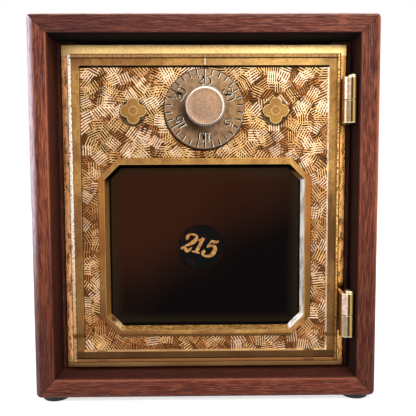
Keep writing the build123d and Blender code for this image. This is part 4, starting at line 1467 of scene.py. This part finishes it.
@dataclass
class DigitPen:
    """Draws digits as flattened strokes of changing width, in millimetres."""

    height: float
    thickness: float
    weight: float = 1.0
    spread: float = 0.0
    slant: float = 0.0
    glyph_middle: float = 0.31
    usual_radius: float = 0.1
    masters: dict[str, Object] = field(default_factory=dict)

    def _stroke(self, stroke: Stroke, closed: bool) -> Object:
        """Model one stroke as a round bar that follows its points.

        Args:
            stroke: Its points, as shares of the digit's height, each with a radius.
            closed: Whether it ends where it starts.

        Returns:
            The bar as a mesh object.
        """
        Bench.clear()
        bpy.ops.curve.primitive_nurbs_path_add()
        path = Bench.added("stroke")
        path.data.splines.remove(path.data.splines[0])
        line = path.data.splines.new("NURBS")
        line.points.add(len(stroke) - 1)
        for point, (x, z, radius) in zip(line.points, stroke):
            across = (x - self.glyph_middle + self.slant * (z - 0.5)) * self.height
            point.co = (across * MM, 0.0, (z - 0.5) * self.height * MM, 1.0)
            point.radius = (radius * self.weight + self.spread / self.height) * self.height
        line.order_u = 3
        line.use_cyclic_u = closed
        line.use_endpoint_u = not closed
        line.resolution_u = 4
        path.data.dimensions = "3D"
        path.data.bevel_depth = MM
        path.data.bevel_resolution = 1
        path.data.use_fill_caps = True
        Bench.only(path)
        bpy.ops.object.convert(target="MESH")
        return Bench.added("stroke")

    def master(self, digit: str) -> Object:
        """Model one digit, or return the one already modelled.

        Args:
            digit: One of the digits in GLYPHS.

        Returns:
            A mesh object whose digit is centred at the origin, facing the front.
        """
        if digit not in self.masters:
            parts = [self._stroke(stroke, digit in CLOSED_GLYPHS) for stroke in GLYPHS[digit]]
            made = Bench.join(parts, f"digit_{digit}_master")
            made.scale = (1.0, self.thickness / (self.usual_radius * self.height), 1.0)
            self.masters[digit] = Bench.smooth(Bench.settle(made), 50.0)
        return self.masters[digit]

    def write(self, places: Iterable[tuple[str, Matrix]], name: str) -> Object:
        """Copy digits to their places and join them.

        Args:
            places: Each digit with its place.
            name: The piece's name.

        Returns:
            The joined piece.
        """
        copies = [Bench.copy(self.master(digit), place, f"{name}_{index}")
                  for index, (digit, place) in enumerate(places)]
        made = Bench.join(copies, name)
        for master in self.masters.values():
            Bench.discard(master)
        self.masters.clear()
        return made


# ------------------------------------------------------------------ sub-assemblies
@dataclass
class Workshop:
    """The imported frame's nodes, the shared groups and the finishes built so far."""

    nodes: dict[str, Object]
    groups: SharedGroups
    materials: dict[Finish, Material] = field(default_factory=dict)

    def material(self, finish: Finish) -> Material:
        """The finish as a material, built when it is first asked for.

        Args:
            finish: The finish.

        Returns:
            Its material.
        """
        if finish not in self.materials:
            self.materials[finish] = finish.material(self.groups)
        return self.materials[finish]

    def dress(self, finish: Finish, *names: str) -> None:
        """Put one finish on named nodes, which are never changed otherwise.

        Args:
            finish: What the nodes are dressed in.
            names: The nodes' names.
        """
        for name in names:
            node = self.nodes[name]
            if not node.material_slots:
                node.data.materials.append(self.material(finish))
            for slot in node.material_slots:
                slot.material = self.material(finish)
            LOG.info("node %s dressed in %s", name, finish.name)

    def add(self, obj: Object, body: str, slot: str, finish: Finish) -> Object:
        """Give a finished piece its material and body.

        Args:
            obj: The piece, at the origin with its place in its mesh.
            body: The frame's body that it moves with.
            slot: A material slot's name; not used.
            finish: What it is dressed in.

        Returns:
            The same piece.
        """
        obj.data.materials.clear()
        obj.data.materials.append(self.material(finish))
        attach(obj, body)
        LOG.info("piece %s on %s: %d faces", obj.name, body, len(obj.data.polygons))
        return obj


@dataclass
class WoodCase:
    """The mitred case, its back panel, cleats and feet."""

    shop: Workshop

    def build(self) -> None:
        """Dress the case's boards, each with its own run of grain."""
        # The inner, rim and lip tones and the shade shares below are painted shade and highlights: dark
        # recess walls, bright edges, darker low and to the left.
        top = StainedWood("case_top_wood", Grain.ACROSS, face=(78, 27, 20), glow=(98, 38, 28),
                          streak=(68, 26, 24), inner=(6, 3, 3), shift=(0.11, 0.03, 0.4),
                          rim_highlight=(236, 208, 198), recess_shade_share=0.97, lip_highlight_share=0.0, rim_highlight_share=0.85,
                          rim_highlight_width=1.3, painted_shade=(34, 10, 16), shade_left=0.5, pore_share=0.4)
        bottom = StainedWood("case_bottom_wood", Grain.ACROSS, face=(91, 33, 18), glow=(114, 46, 27),
                             streak=(72, 28, 19), shift=(0.31, 0.07, 0.1), rim_highlight_share=0.0,
                             shade_low=0.16, shade_left=0.12, pore_share=0.4)
        left = StainedWood("case_left_wood", Grain.UPRIGHT, face=(92, 39, 26), glow=(142, 68, 36),
                           streak=(62, 26, 19), inner=(58, 26, 19), rim_highlight=(214, 194, 208),
                           shift=(0.02, 0.21, 0.7), streak_share=0.9, lip_highlight_share=0.75, rim_highlight_share=0.9,
                           rim_highlight_width=3.6, shade_low=0.62, highlight_and_coat_low=0.1, pore_share=0.5)
        right = StainedWood("case_right_wood", Grain.UPRIGHT, face=(70, 25, 12), glow=(102, 42, 22),
                            streak=(60, 25, 16), inner=(22, 8, 8), rim_highlight=(202, 110, 72),
                            shift=(0.5, 0.37, 0.2), recess_shade_share=0.88, lip_highlight_share=0.3, rim_highlight_share=0.8,
                            rim_highlight_width=2.4, shade_low=0.5, highlight_and_coat_low=0.15, pore_share=0.35)
        panel = StainedWood("back_panel_wood", Grain.ACROSS, face=(112, 64, 48), glow=(140, 84, 58),
                            streak=(84, 44, 32), shift=(0.8, 0.1, 0.3), recess_shade_share=0.0, coat=0.1,
                            mitre_share=0.0, rim_highlight_share=0.0, lip_highlight_share=0.0)
        cleat = StainedWood("cleat_wood", Grain.UPRIGHT, face=(96, 56, 42), glow=(126, 78, 56),
                            streak=(70, 38, 28), shift=(0.3, 0.9, 0.1), recess_shade_share=0.4, coat=0.05,
                            mitre_share=0.0, rim_highlight_share=0.0, lip_highlight_share=0.0)
        rubber = Paint("foot_rubber", (20, 19, 20), (44, 42, 42), wear_size=3.0, roughness=0.62,
                       specular=0.35, bump=0.05)
        self.shop.dress(top, "case_top")
        self.shop.dress(bottom, "case_bottom")
        self.shop.dress(left, "case_left_side")
        self.shop.dress(right, "case_right_side")
        self.shop.dress(panel, "back_panel")
        self.shop.dress(cleat, "left_cleat", "right_cleat")
        self.shop.dress(rubber, "feet")


@dataclass
class FieldHatching:
    """The sunk field's patches of parallel ridges, laid every way round the window."""

    shop: Workshop
    band: float = 3.05
    ridges: int = 5
    lines_per_ridge: int = 4
    ridge_pitch: float = 1.08
    ridge_height: float = 0.28
    skirt: float = 0.2
    rise: float = 0.27
    rise_play: float = 0.12
    pitch: float = 3.75
    stagger: float = 0.25
    place_play: float = 1.0
    margin: float = 0.8
    kept_gap: float = 0.5
    pushed_gap: float = 0.6
    dropped_gap: float = -1.8
    turns: tuple[int, ...] = (0, 30, 45, 60, 90, 120, 135, 150)
    turn_play: float = 9.0
    lean_play: float = 1.6
    long_stretch: tuple[float, float] = (0.92, 1.12)
    wide_stretch: tuple[float, float] = (0.85, 1.1)
    tone_spread: float = 1.6
    seed: int = 11

    def _tile(self) -> Object:
        """Model one patch of ridges, facing the front at the origin.

        Returns:
            The patch, whose "groove" attribute is 1 in its valleys.
        """
        size = self.ridges * self.ridge_pitch * MM
        count = self.lines_per_ridge * self.ridges
        Bench.clear()
        bpy.ops.mesh.primitive_grid_add(x_subdivisions=count, y_subdivisions=1, size=size,
                                        rotation=(math.pi / 2, 0, 0))
        tile = Bench.settle(Bench.added("hatch_master"))

        def in_valley(vert: bmesh.types.BMVert) -> bool:
            """Whether a point is on the first or last line of its ridge."""
            return round((vert.co.x / size + 0.5) * count) % self.lines_per_ridge in (0, 3)

        back = (self.ridge_height + self.skirt) * MM
        Bench.pick(tile, Element.VERT, in_valley)
        bpy.ops.transform.translate(value=(0, self.ridge_height * MM, 0))
        Bench.pick(tile, Element.EDGE, lambda edge: edge.is_boundary)
        bpy.ops.mesh.extrude_region_move(TRANSFORM_OT_translate={"value": (0, back, 0)})
        Bench.pick(tile, Element.VERT, lambda vert: vert.co.y > (self.ridge_height + 0.1 * self.skirt) * MM)
        bpy.ops.transform.resize(value=(1, 0, 1), center_override=(0, back, 0))
        Bench.pick(tile, Element.EDGE, lambda edge: edge.is_boundary)
        bpy.ops.mesh.edge_face_add()
        bpy.ops.mesh.select_all(action="SELECT")
        bpy.ops.mesh.dissolve_limited(angle_limit=math.radians(1))
        bpy.ops.object.mode_set(mode="OBJECT")
        Bench.outward(tile)
        depth = tile.data.attributes.new("groove", "FLOAT", "POINT")
        for vert, entry in zip(tile.data.vertices, depth.data):
            entry.value = min(1.0, max(0.0, vert.co.y / (self.ridge_height * MM)))
        return tile

    def _outside_window(self, x: float, z: float) -> float:
        """How far a point lies outside the window and the band round it.

        Args:
            x: Its place across, in millimetres.
            z: Its height, in millimetres.

        Returns:
            The distance in millimetres, negative inside.
        """
        across = abs(x)
        rise = abs(z - WINDOW.middle)
        slope = (across + rise - WINDOW.reach) / math.sqrt(2)
        return max(across - WINDOW.half_width, rise - WINDOW.half_height, slope) - self.band

    def _places(self) -> list[tuple[float, float]]:
        """Where the patches go: a loose grid, kept off the window.

        Returns:
            The patches' middles across and up, in millimetres.
        """
        pick = random.Random(self.seed)
        spots = []
        columns = math.ceil(2 * FIELD.half_width / self.pitch)
        rows = math.ceil(2 * FIELD.half_height / self.pitch)
        for row in range(rows):
            for column in range(columns):
                x = -FIELD.half_width + (column + 0.5) * 2 * FIELD.half_width / columns
                z = FIELD.bottom + (row + 0.5) * 2 * FIELD.half_height / rows
                x += pick.uniform(-self.place_play, self.place_play)
                x += (self.stagger if row % 2 else -self.stagger) * self.pitch
                z += pick.uniform(-self.place_play, self.place_play)
                x = max(-FIELD.half_width + self.margin, min(FIELD.half_width - self.margin, x))
                z = max(FIELD.bottom + self.margin, min(FIELD.top - self.margin, z))
                gap = self._outside_window(x, z)
                if gap > self.kept_gap:
                    spots.append((x, z))
                elif gap > self.dropped_gap:
                    push = 1 + (self.pushed_gap - gap) / math.hypot(x, z - WINDOW.middle)
                    spots.append((x * push, WINDOW.middle + (z - WINDOW.middle) * push))
        return spots

    def build(self) -> Object:
        """Lay the patches and join them into one piece on the door.

        Returns:
            The finished piece.
        """
        tile = self._tile()
        pick = random.Random(self.seed + 1)
        copies = []
        for index, (x, z) in enumerate(self._places()):
            turn = math.radians(pick.choice(self.turns) + pick.uniform(-self.turn_play, self.turn_play))
            lean = Matrix.Rotation(math.radians(pick.uniform(-self.lean_play, self.lean_play)), 4, "X")
            lean @= Matrix.Rotation(math.radians(pick.uniform(-self.lean_play, self.lean_play)), 4, "Z")
            lift = FIELD_FRONT - self.rise + pick.uniform(0.0, self.rise_play)
            place = Matrix.Translation(Vector((x, lift, z)) * MM)
            place @= lean @ Matrix.Rotation(turn, 4, "Y")
            stretch = (pick.uniform(*self.long_stretch), 1, pick.uniform(*self.wide_stretch), 1)
            made = Bench.copy(tile, place @ Matrix.Diagonal(stretch), f"hatch_{index}")
            # Each patch's tone is its painted highlight and shade, different from patch to patch.
            tone = made.data.attributes.new("tone", "FLOAT", "POINT")
            value = pick.betavariate(self.tone_spread, self.tone_spread)
            tone.data.foreach_set("value", [value] * len(made.data.vertices))
            copies.append(made)
        Bench.discard(tile)
        hatching = Bench.join(copies, "field_hatching")
        return self.shop.add(hatching, "door", "cast_brass", HatchedBrass("hatched_brass"))


@dataclass
class BrassDoor:
    """The frame and door castings, with the hatched field and the index mark."""

    shop: Workshop
    index_across: float = 0.35
    index_low: float = 154.9
    index_high: float = 158.0
    index_width: float = 0.7
    index_depth: float = 0.3
    index_inset: float = 0.12
    index_push: float = 0.08
    index_round: float = 0.04

    def _index_mark(self) -> Object:
        """Model the line above the dial that its numbers are read against.

        Returns:
            The mark.
        """
        Bench.clear()
        middle = Vector((self.index_across, DOOR_FRONT, (self.index_low + self.index_high) / 2))
        bpy.ops.mesh.primitive_cube_add(size=1, location=middle * MM)
        mark = Bench.added("index_mark")
        mark.scale = Vector((self.index_width, self.index_depth, self.index_high - self.index_low)) * MM
        Bench.settle(mark)
        Bench.pick(mark, Element.FACE, lambda face: face.normal.y < -0.9)
        bpy.ops.mesh.inset(thickness=self.index_inset * MM, depth=self.index_push * MM)
        bpy.ops.object.mode_set(mode="OBJECT")
        return Bench.bevel(mark, self.index_round * MM)

    def build(self) -> None:
        """Dress the castings, lay the hatching and cut the index mark."""
        self.shop.dress(FrameBrass("frame_brass"), "door_frame")
        self.shop.dress(DoorBrass("door_brass"), "door_casting")
        FieldHatching(self.shop).build()
        cream = Paint("index_paint", (246, 226, 176), (196, 160, 100), roughness=0.45)
        self.shop.add(self._index_mark(), "door", "cast_brass", cream)


@dataclass
class Window:
    """The glass, the roundel on it and its gilt number."""

    shop: Workshop
    centre: float = -2.0
    front: float = -40.7
    radius: float = 10.7
    rim_radius: float = 0.3
    rim_inset: float = 0.35
    rim_flatness: float = 0.5
    number: str = "215"
    height: float = 7.7
    advance: float = 5.25
    tilt: float = 14.0
    shift_x: float = -0.65
    rise: float = 1.1
    weight: float = 1.5
    slant: float = 0.26
    outline_spread: float = 0.3
    outline_thickness: float = 0.16
    digit_thickness: float = 0.12
    digit_proud: float = 0.2

    def _places(self, proud: float) -> list[tuple[str, Matrix]]:
        """Where each digit of the number goes.

        Args:
            proud: How far it stands in front of the roundel, in millimetres.

        Returns:
            The digits with their places.
        """
        places = []
        middle = Vector((self.centre + self.shift_x, self.front - proud, WINDOW.middle + self.rise))
        base = Matrix.Translation(middle * MM)
        base @= Matrix.Rotation(math.radians(self.tilt), 4, "Y")
        for index, digit in enumerate(self.number):
            step = (index - (len(self.number) - 1) / 2) * self.advance
            places.append((digit, base @ Matrix.Translation((step * MM, 0, 0))))
        return places

    def _rim(self) -> Object:
        """Model the thin raised rim of the roundel.

        Returns:
            The rim.
        """
        Bench.clear()
        bpy.ops.mesh.primitive_torus_add(location=Vector((self.centre, self.front, WINDOW.middle)) * MM,
                                         rotation=(math.pi / 2, 0, 0), major_segments=72,
                                         major_radius=(self.radius - self.rim_inset) * MM,
                                         minor_segments=8, minor_radius=self.rim_radius * MM)
        ring = Bench.added("roundel_rim")
        ring.scale = (1, 1, self.rim_flatness)
        return Bench.smooth(Bench.settle(ring), 60.0)

    def build(self) -> None:
        """Dress the glass and roundel, and set the number on them."""
        enamel = Paint("roundel_enamel", (7, 7, 8), (34, 16, 12), wear_size=9.0, roughness=0.5,
                       specular=0.04)
        rim = Paint("roundel_rim_enamel", (9, 8, 8), (50, 24, 20), wear_size=7.0, roughness=0.6,
                    specular=0.03)
        gilt = Paint("number_gilt", (182, 132, 70), (124, 78, 38), wear_size=0.9, wear_low=0.42,
                     wear_high=0.66, roughness=0.45, metallic=0.5)
        self.shop.dress(SmokedGlass("smoked_glass"), "glass_pane")
        self.shop.dress(enamel, "number_roundel")
        self.shop.add(self._rim(), "door", "black_enamel", rim)
        broad_pen = DigitPen(self.height, self.outline_thickness, self.weight, self.outline_spread,
                             self.slant)
        outline = broad_pen.write(self._places(0.0), "number_outline")
        self.shop.add(outline, "door", "black_enamel", enamel)
        pen = DigitPen(self.height, self.digit_thickness, self.weight, slant=self.slant)
        digits = pen.write(self._places(self.digit_proud), "number_digits")
        self.shop.add(digits, "door", "cast_brass", gilt)


@dataclass
class Dial:
    """The numbered dial, its marks and the milled knob."""

    shop: Workshop
    front: float = -45.4
    rim: float = 17.75
    divisions: int = 30
    labels: tuple[str, ...] = ("25", "30", "5", "10", "15", "20")
    tick: float = 2.7
    long_tick: float = 6.8
    tick_width: float = 0.58
    tick_proud: float = 0.07
    highlight_shift: tuple[float, float] = (0.19, -0.13)
    highlight_proud: float = 0.04
    digit_height: float = 3.75
    digit_weight: float = 1.1
    digit_thickness: float = 0.08
    digit_radius: float = 12.9
    digit_offset: float = 1.65
    knob_front: float = -53.4
    knob_radius: float = 8.95
    knob_neck: float = 6.6
    knob_neck_back: float = -45.4
    knob_head_back: float = -47.0
    knob_rim: float = 8.2
    knob_shift: Point = (0.4, 0.0, 0.45)
    knob_taper: float = 0.1
    knob_chamfer: float = 0.7
    knob_back_chamfer: float = 0.5
    knob_back_taper: float = 0.4
    knob_face: tuple[tuple[float, float], ...] = ((0.2, 0.0), (0.25, 0.1), (2.4, 0.0), (0.2, -0.05))
    teeth: int = 64
    lines_per_tooth: int = 4
    tooth_depth: float = 0.6

    def _turned(self, angle: float, shift: tuple[float, float]) -> Matrix:
        """The place at an angle in degrees, clockwise from the top of the dial."""
        middle = Matrix.Translation(Vector((shift[0], self.front, DIAL_RISE + shift[1])) * MM)
        return middle @ Matrix.Rotation(math.radians(angle), 4, "Y")

    def _tick(self, length: float, proud: float, name: str) -> Object:
        """Model one mark that runs inwards from the rim at the top of the dial.

        Args:
            length: How long it is, in millimetres.
            proud: How far it stands in front of the dial, in millimetres.
            name: Its name.

        Returns:
            The mark.
        """
        Bench.clear()
        bpy.ops.mesh.primitive_cube_add(size=1, location=Vector((0, 0, self.rim - length / 2)) * MM)
        mark = Bench.added(name)
        mark.scale = Vector((self.tick_width, 2 * proud, length)) * MM
        Bench.settle(mark)
        Bench.pick(mark, Element.FACE, lambda face: face.normal.y < -0.9)
        bpy.ops.mesh.inset(thickness=0.22 * self.tick_width * MM, depth=0.2 * proud * MM)
        bpy.ops.object.mode_set(mode="OBJECT")
        return mark

    def _ticks(self, proud: float, shift: tuple[float, float], name: str) -> Object:
        """Copy the short and long marks round the dial and join them.

        Args:
            proud: How far they stand in front of the dial, in millimetres.
            shift: How far they are moved across and up, in millimetres.
            name: The piece's name.

        Returns:
            The joined piece.
        """
        short = self._tick(self.tick, proud, "tick_master")
        long = self._tick(self.long_tick, proud, "long_tick_master")
        every = self.divisions // len(self.labels)
        copies = []
        for index in range(self.divisions):
            label = self.labels[index // every] if index % every == 0 else ""
            master = long if len(label) == 2 else short
            angle = index * 360 / self.divisions
            copies.append(Bench.copy(master, self._turned(angle, shift), f"{name}_{index}"))
        Bench.discard(short)
        Bench.discard(long)
        return Bench.join(copies, name)

    def _digits(self, thickness: float, shift: tuple[float, float], name: str) -> Object:
        """Stamp the labels round the dial, their tops towards the rim.

        Args:
            thickness: How thick the digits are, in millimetres.
            shift: How far they are moved across and up, in millimetres.
            name: The piece's name.

        Returns:
            The joined piece.
        """
        places = []
        for index, label in enumerate(self.labels):
            turned = self._turned(index * 360 / len(self.labels), shift)
            offsets = (-self.digit_offset, self.digit_offset) if len(label) == 2 else (0.0,)
            for digit, offset in zip(label, offsets):
                place = Matrix.Translation(Vector((offset, 0, self.digit_radius)) * MM)
                places.append((digit, turned @ place))
        return DigitPen(self.digit_height, thickness, self.digit_weight).write(places, name)

    def _shrink(self, amount: float) -> None:
        """Draw the selected points in towards the knob's axis by an amount in millimetres."""
        share = 1 - amount / self.knob_radius
        bpy.ops.transform.resize(value=(share, 1, share), center_override=(0, 0, DIAL_RISE * MM))

    def _draw_in(self, knob: Object, level: float, amount: float) -> None:
        """Make the head smaller at one level by an amount, both in millimetres."""
        Bench.pick(knob, Element.VERT, lambda vert: abs(vert.co.y / MM - level) < 0.05)
        self._shrink(amount)

    def _cut_teeth(self, knob: Object) -> None:
        """Press in every other pair of lines along the head, so that it is milled all round.

        Args:
            knob: The knob, in edit mode.
        """
        start = self.knob_front + 0.5 * self.knob_chamfer
        end = self.knob_head_back - 0.5 * self.knob_back_chamfer
        lines = self.lines_per_tooth * self.teeth

        def in_valley(vert: bmesh.types.BMVert) -> bool:
            """Whether a point of the head's side is on one of a tooth's two low lines."""
            turn = math.atan2(vert.co.x, vert.co.z - DIAL_RISE * MM) / math.tau
            return start < vert.co.y / MM < end and round(turn * lines) % self.lines_per_tooth in (2, 3)

        Bench.pick(knob, Element.VERT, in_valley)
        self._shrink(self.tooth_depth)

    def _knob(self) -> Object:
        """Model the knob: a neck, a tapered head with milled teeth, a rim and a sunk face.

        Returns:
            The knob.
        """
        Bench.clear()
        centre = Vector((0, (self.knob_head_back + self.knob_front) / 2, DIAL_RISE)) * MM
        bpy.ops.mesh.primitive_cylinder_add(vertices=self.lines_per_tooth * self.teeth,
                                            radius=self.knob_radius * MM,
                                            depth=(self.knob_head_back - self.knob_front) * MM,
                                            location=centre, rotation=(math.pi / 2, 0, 0))
        knob = Bench.settle(Bench.added("milled_knob"))
        Bench.edit(knob)
        for level in (self.knob_front + self.knob_chamfer, self.knob_head_back - self.knob_back_chamfer):
            bpy.ops.mesh.select_all(action="SELECT")
            bpy.ops.mesh.bisect(plane_co=(0, level * MM, 0), plane_no=(0, 1, 0))
        self._draw_in(knob, self.knob_front, self.knob_radius - self.knob_rim)
        self._draw_in(knob, self.knob_front + self.knob_chamfer, self.knob_taper)
        self._draw_in(knob, self.knob_head_back, self.knob_back_taper)
        self._cut_teeth(knob)
        Bench.pick(knob, Element.FACE, lambda face: face.normal.y < -0.9 and len(face.verts) > 8)
        for inset, push in self.knob_face:
            bpy.ops.mesh.inset(thickness=inset * MM, depth=0)
            bpy.ops.transform.translate(value=(0, push * MM, 0))
        Bench.pick(knob, Element.FACE, lambda face: face.normal.y > 0.9 and len(face.verts) > 8)
        neck_inset = self.knob_radius - self.knob_back_taper - self.knob_neck
        bpy.ops.mesh.inset(thickness=neck_inset * MM, depth=0)
        neck_length = self.knob_neck_back - self.knob_head_back
        bpy.ops.mesh.extrude_region_move(TRANSFORM_OT_translate={"value": (0, neck_length * MM, 0)})
        bpy.ops.object.mode_set(mode="OBJECT")
        Bench.outward(knob)
        knob.location = Vector(self.knob_shift) * MM
        return Bench.smooth(Bench.settle(knob), 24.0)

    def build(self) -> None:
        """Dress the dial and add its marks, digits and knob."""
        ink = Paint("dial_ink", (10, 7, 5), (60, 46, 34), wear_size=2.2, wear_low=0.58, wear_high=0.72,
                    roughness=0.6, specular=0.08)
        # Painted highlight: bright copies of the marks, shifted to one side, stand for their lit engraved
        # edges.
        burr_highlight = Paint("dial_burr_highlight", (244, 234, 214), (206, 186, 154), roughness=0.3, metallic=1.0)
        # The knob's bright rim is a painted highlight, and its short corner reach paints shade between its
        # teeth.
        face = WornNickel("knob_nickel", silver=(170, 139, 115), worn=(162, 126, 96), grime_and_shade=(84, 60, 44),
                          rubbed=(255, 250, 240), dark_from=1.0, dark_to=0.5, dark_share=0.0,
                          top_share=0.0, corner_reach=0.5, cloud_size=0.7, rim_from=7.75,
                          rim_highlight_share=0.95, roughness=0.38)
        self.shop.dress(WornNickel("dial_nickel"), "dial_plate")
        still = (0.0, 0.0)
        ticks = self._ticks(self.tick_proud, still, "dial_ticks")
        self.shop.add(ticks, "dial", "black_enamel", ink)
        tick_burr_highlights = self._ticks(self.highlight_proud, self.highlight_shift, "tick_burr_highlights")
        self.shop.add(tick_burr_highlights, "dial", "worn_nickel", burr_highlight)
        digits = self._digits(self.digit_thickness, still, "dial_digits")
        self.shop.add(digits, "dial", "black_enamel", ink)
        digit_burr_highlights = self._digits(self.highlight_proud, self.highlight_shift, "digit_burr_highlights")
        self.shop.add(digit_burr_highlights, "dial", "worn_nickel", burr_highlight)
        knob = self.shop.add(self._knob(), "dial", "worn_nickel", face)
        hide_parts("dial_knob")


@dataclass
class Hinges:
    """The two knuckle hinges and their pins."""

    shop: Workshop

    def build(self) -> None:
        """Dress the leaves, the pins and their screws."""
        self.shop.dress(HingeBrass("hinge_brass"), "upper_frame_leaf", "lower_frame_leaf",
                        "upper_door_leaf", "lower_door_leaf", "hinge_pins")
        screws = MachinedMetal("leaf_screw_brass", (206, 164, 92), (120, 82, 44))
        self.shop.dress(screws, "frame_leaf_screws", "door_leaf_screws")


@dataclass
class LockWorks:
    """The open lock at the back of the door, the glass's retainer and the screws."""

    shop: Workshop

    def build(self) -> None:
        """Dress every part of the lock in its own metal."""
        plate = MachinedMetal("lock_plate_brass", (206, 164, 96), (140, 98, 56))
        turned = MachinedMetal("turned_brass", (218, 178, 106), (150, 108, 62), brushed=(1, 0.08, 1),
                               roughness=0.26)
        wheel = MachinedMetal("wheel_brass", (224, 186, 116), (162, 118, 70), brushed=(1, 1, 1))
        retainer = MachinedMetal("retainer_brass", (190, 150, 88), (124, 88, 50), brushed=(1, 1, 0.08),
                                 roughness=0.36)
        steel = MachinedMetal("lock_steel", (176, 174, 172), (112, 96, 82), roughness=0.32)
        dark = MachinedMetal("screw_steel", (150, 146, 140), (92, 78, 64), roughness=0.36)
        self.shop.dress(plate, "lock_plate", "lock_bridge", "bolt_guide")
        self.shop.dress(turned, "lock_pillars", "dial_tube", "tumbler_spacers", "driver_cam", "lever_stud")
        self.shop.dress(wheel, "tumbler_1", "tumbler_2", "tumbler_3")
        self.shop.dress(retainer, "glass_retainer")
        self.shop.dress(steel, "latch_bolt", "fence_lever", "dial_spindle", "cam_nut")
        self.shop.dress(dark, "back_panel_screws", "frame_screws", "retainer_screws",
                        "lock_plate_screws", "bridge_screws")


@dataclass(frozen=True)
class Lamp:
    """One soft rectangular lamp, in metres and watts."""

    name: str
    place: Point
    aim: Point
    width: float
    height: float
    power: float
    tint: Point = (1.0, 1.0, 1.0)

    def build(self) -> None:
        """Add the lamp, turned to its aim."""
        data = bpy.data.lights.new(self.name, "AREA")
        data.shape = "RECTANGLE"
        data.size = self.width
        data.size_y = self.height
        data.energy = self.power
        data.color = self.tint
        lamp = bpy.data.objects.new(self.name, data)
        lamp.location = self.place
        turn = (Vector(self.aim) - Vector(self.place)).to_track_quat("-Z", "Y")
        lamp.rotation_euler = turn.to_euler()
        bpy.context.scene.collection.objects.link(lamp)


@dataclass
class Studio:
    """Camera, floor, world and lamps."""

    camera_place: Point = (-1.36, -276.08, 105.21)
    camera_turn: Point = (86.074, 0.247, -0.691)
    lens: float = 43.36
    floor_size: float = 12.0
    floor_tone: Tone = (206, 206, 208)
    floor_glow: float = 0.7
    sky: float = 0.5
    sky_tint: Point = (0.97, 0.98, 1.0)
    lamps: tuple[Lamp, ...] = (
        Lamp("left_softbox", (-0.85, -0.35, 0.35), (-0.02, -0.04, 0.09), 0.35, 0.7, 5.0),
        Lamp("top_softbox", (0.25, -0.55, 0.85), (0.0, -0.04, 0.09), 0.6, 0.5, 6.0, (1.0, 0.97, 0.92)),
        Lamp("front_fill", (0.45, -1.1, 0.25), (0.0, -0.04, 0.09), 0.7, 0.7, 1.2),
        Lamp("upper_strip", (0.12, -1.1, 0.43), (0.0, -0.04, 0.16), 0.8, 0.16, 0.62, (1.0, 0.93, 0.82)),
        Lamp("back_fill", (-0.3, 1.0, 0.6), (0.0, 0.05, 0.09), 0.8, 0.8, 7.0),
    )

    def _camera(self) -> None:
        """Add the camera at its measured place."""
        data = bpy.data.cameras.new("studio_camera")
        data.sensor_width = 36.0
        data.sensor_fit = "HORIZONTAL"
        data.lens = self.lens
        data.clip_start = 0.01
        camera = bpy.data.objects.new("studio_camera", data)
        camera.location = Vector(self.camera_place) * MM
        camera.rotation_euler = [math.radians(angle) for angle in self.camera_turn]
        bpy.context.scene.collection.objects.link(camera)
        bpy.context.scene.camera = camera

    @staticmethod
    def _seen(graph: Graph) -> Socket:
        """Tell the rays that are looked along from the rays that light things.

        Args:
            graph: The graph that the nodes go into.

        Returns:
            1 for camera, glossy and transmission rays, 0 for all others.
        """
        path = graph.node("ShaderNodeLightPath")
        return graph.most(path.outputs["Is Camera Ray"], path.outputs["Is Glossy Ray"],
                          path.outputs["Is Transmission Ray"])

    def _world(self) -> None:
        """Set an even pale sky that is white where it is seen."""
        world = bpy.data.worlds.new("studio_world")
        world.use_nodes = True
        world.node_tree.nodes.clear()
        graph = Graph(world.node_tree)
        light = graph.node("ShaderNodeBackground", {"Color": (*self.sky_tint, 1.0), "Strength": self.sky})
        white = graph.node("ShaderNodeBackground", {"Color": (1.0, 1.0, 1.0, 1.0), "Strength": 1.0})
        mix = graph.node("ShaderNodeMixShader", {"Fac": self._seen(graph), 1: light.outputs["Background"],
                                                 2: white.outputs["Background"]})
        graph.node("ShaderNodeOutputWorld", {"Surface": mix.outputs["Shader"]})
        bpy.context.scene.world = world

    def _floor(self) -> None:
        """Lay a plain pale floor that keeps the object's shadow."""
        Bench.clear()
        bpy.ops.mesh.primitive_plane_add(size=self.floor_size, location=(0, 0, 0))
        floor = Bench.added("studio_floor")
        material, graph, output = empty_material("studio_floor")
        matte = graph.node("ShaderNodeBsdfDiffuse", {"Color": linear(self.floor_tone)})
        glow = graph.node("ShaderNodeEmission", {"Strength": graph.times(self._seen(graph), self.floor_glow)})
        total = graph.node("ShaderNodeAddShader", {0: matte.outputs["BSDF"], 1: glow.outputs["Emission"]})
        graph.feed(output.inputs["Surface"], total.outputs["Shader"])
        floor.data.materials.append(material)

    def build(self) -> None:
        """Set up the whole studio."""
        bpy.context.scene.view_settings.view_transform = "Standard"
        self._camera()
        self._world()
        self._floor()
        for lamp in self.lamps:
            lamp.build()
        LOG.info("studio ready with %d lamps", len(self.lamps))


def main() -> None:
    """Load the frame and build each sub-assembly in order."""
    logging.basicConfig(level=logging.INFO, format="%(name)s: %(message)s")
    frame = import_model()
    Studio().build()
    shop = Workshop(frame["nodes"], SharedGroups())
    for part in (WoodCase, BrassDoor, Window, Dial, Hinges, LockWorks):
        part(shop).build()
        LOG.info("%s built", part.__name__)
    Bench.clear()


if __name__ == "__main__":
    main()
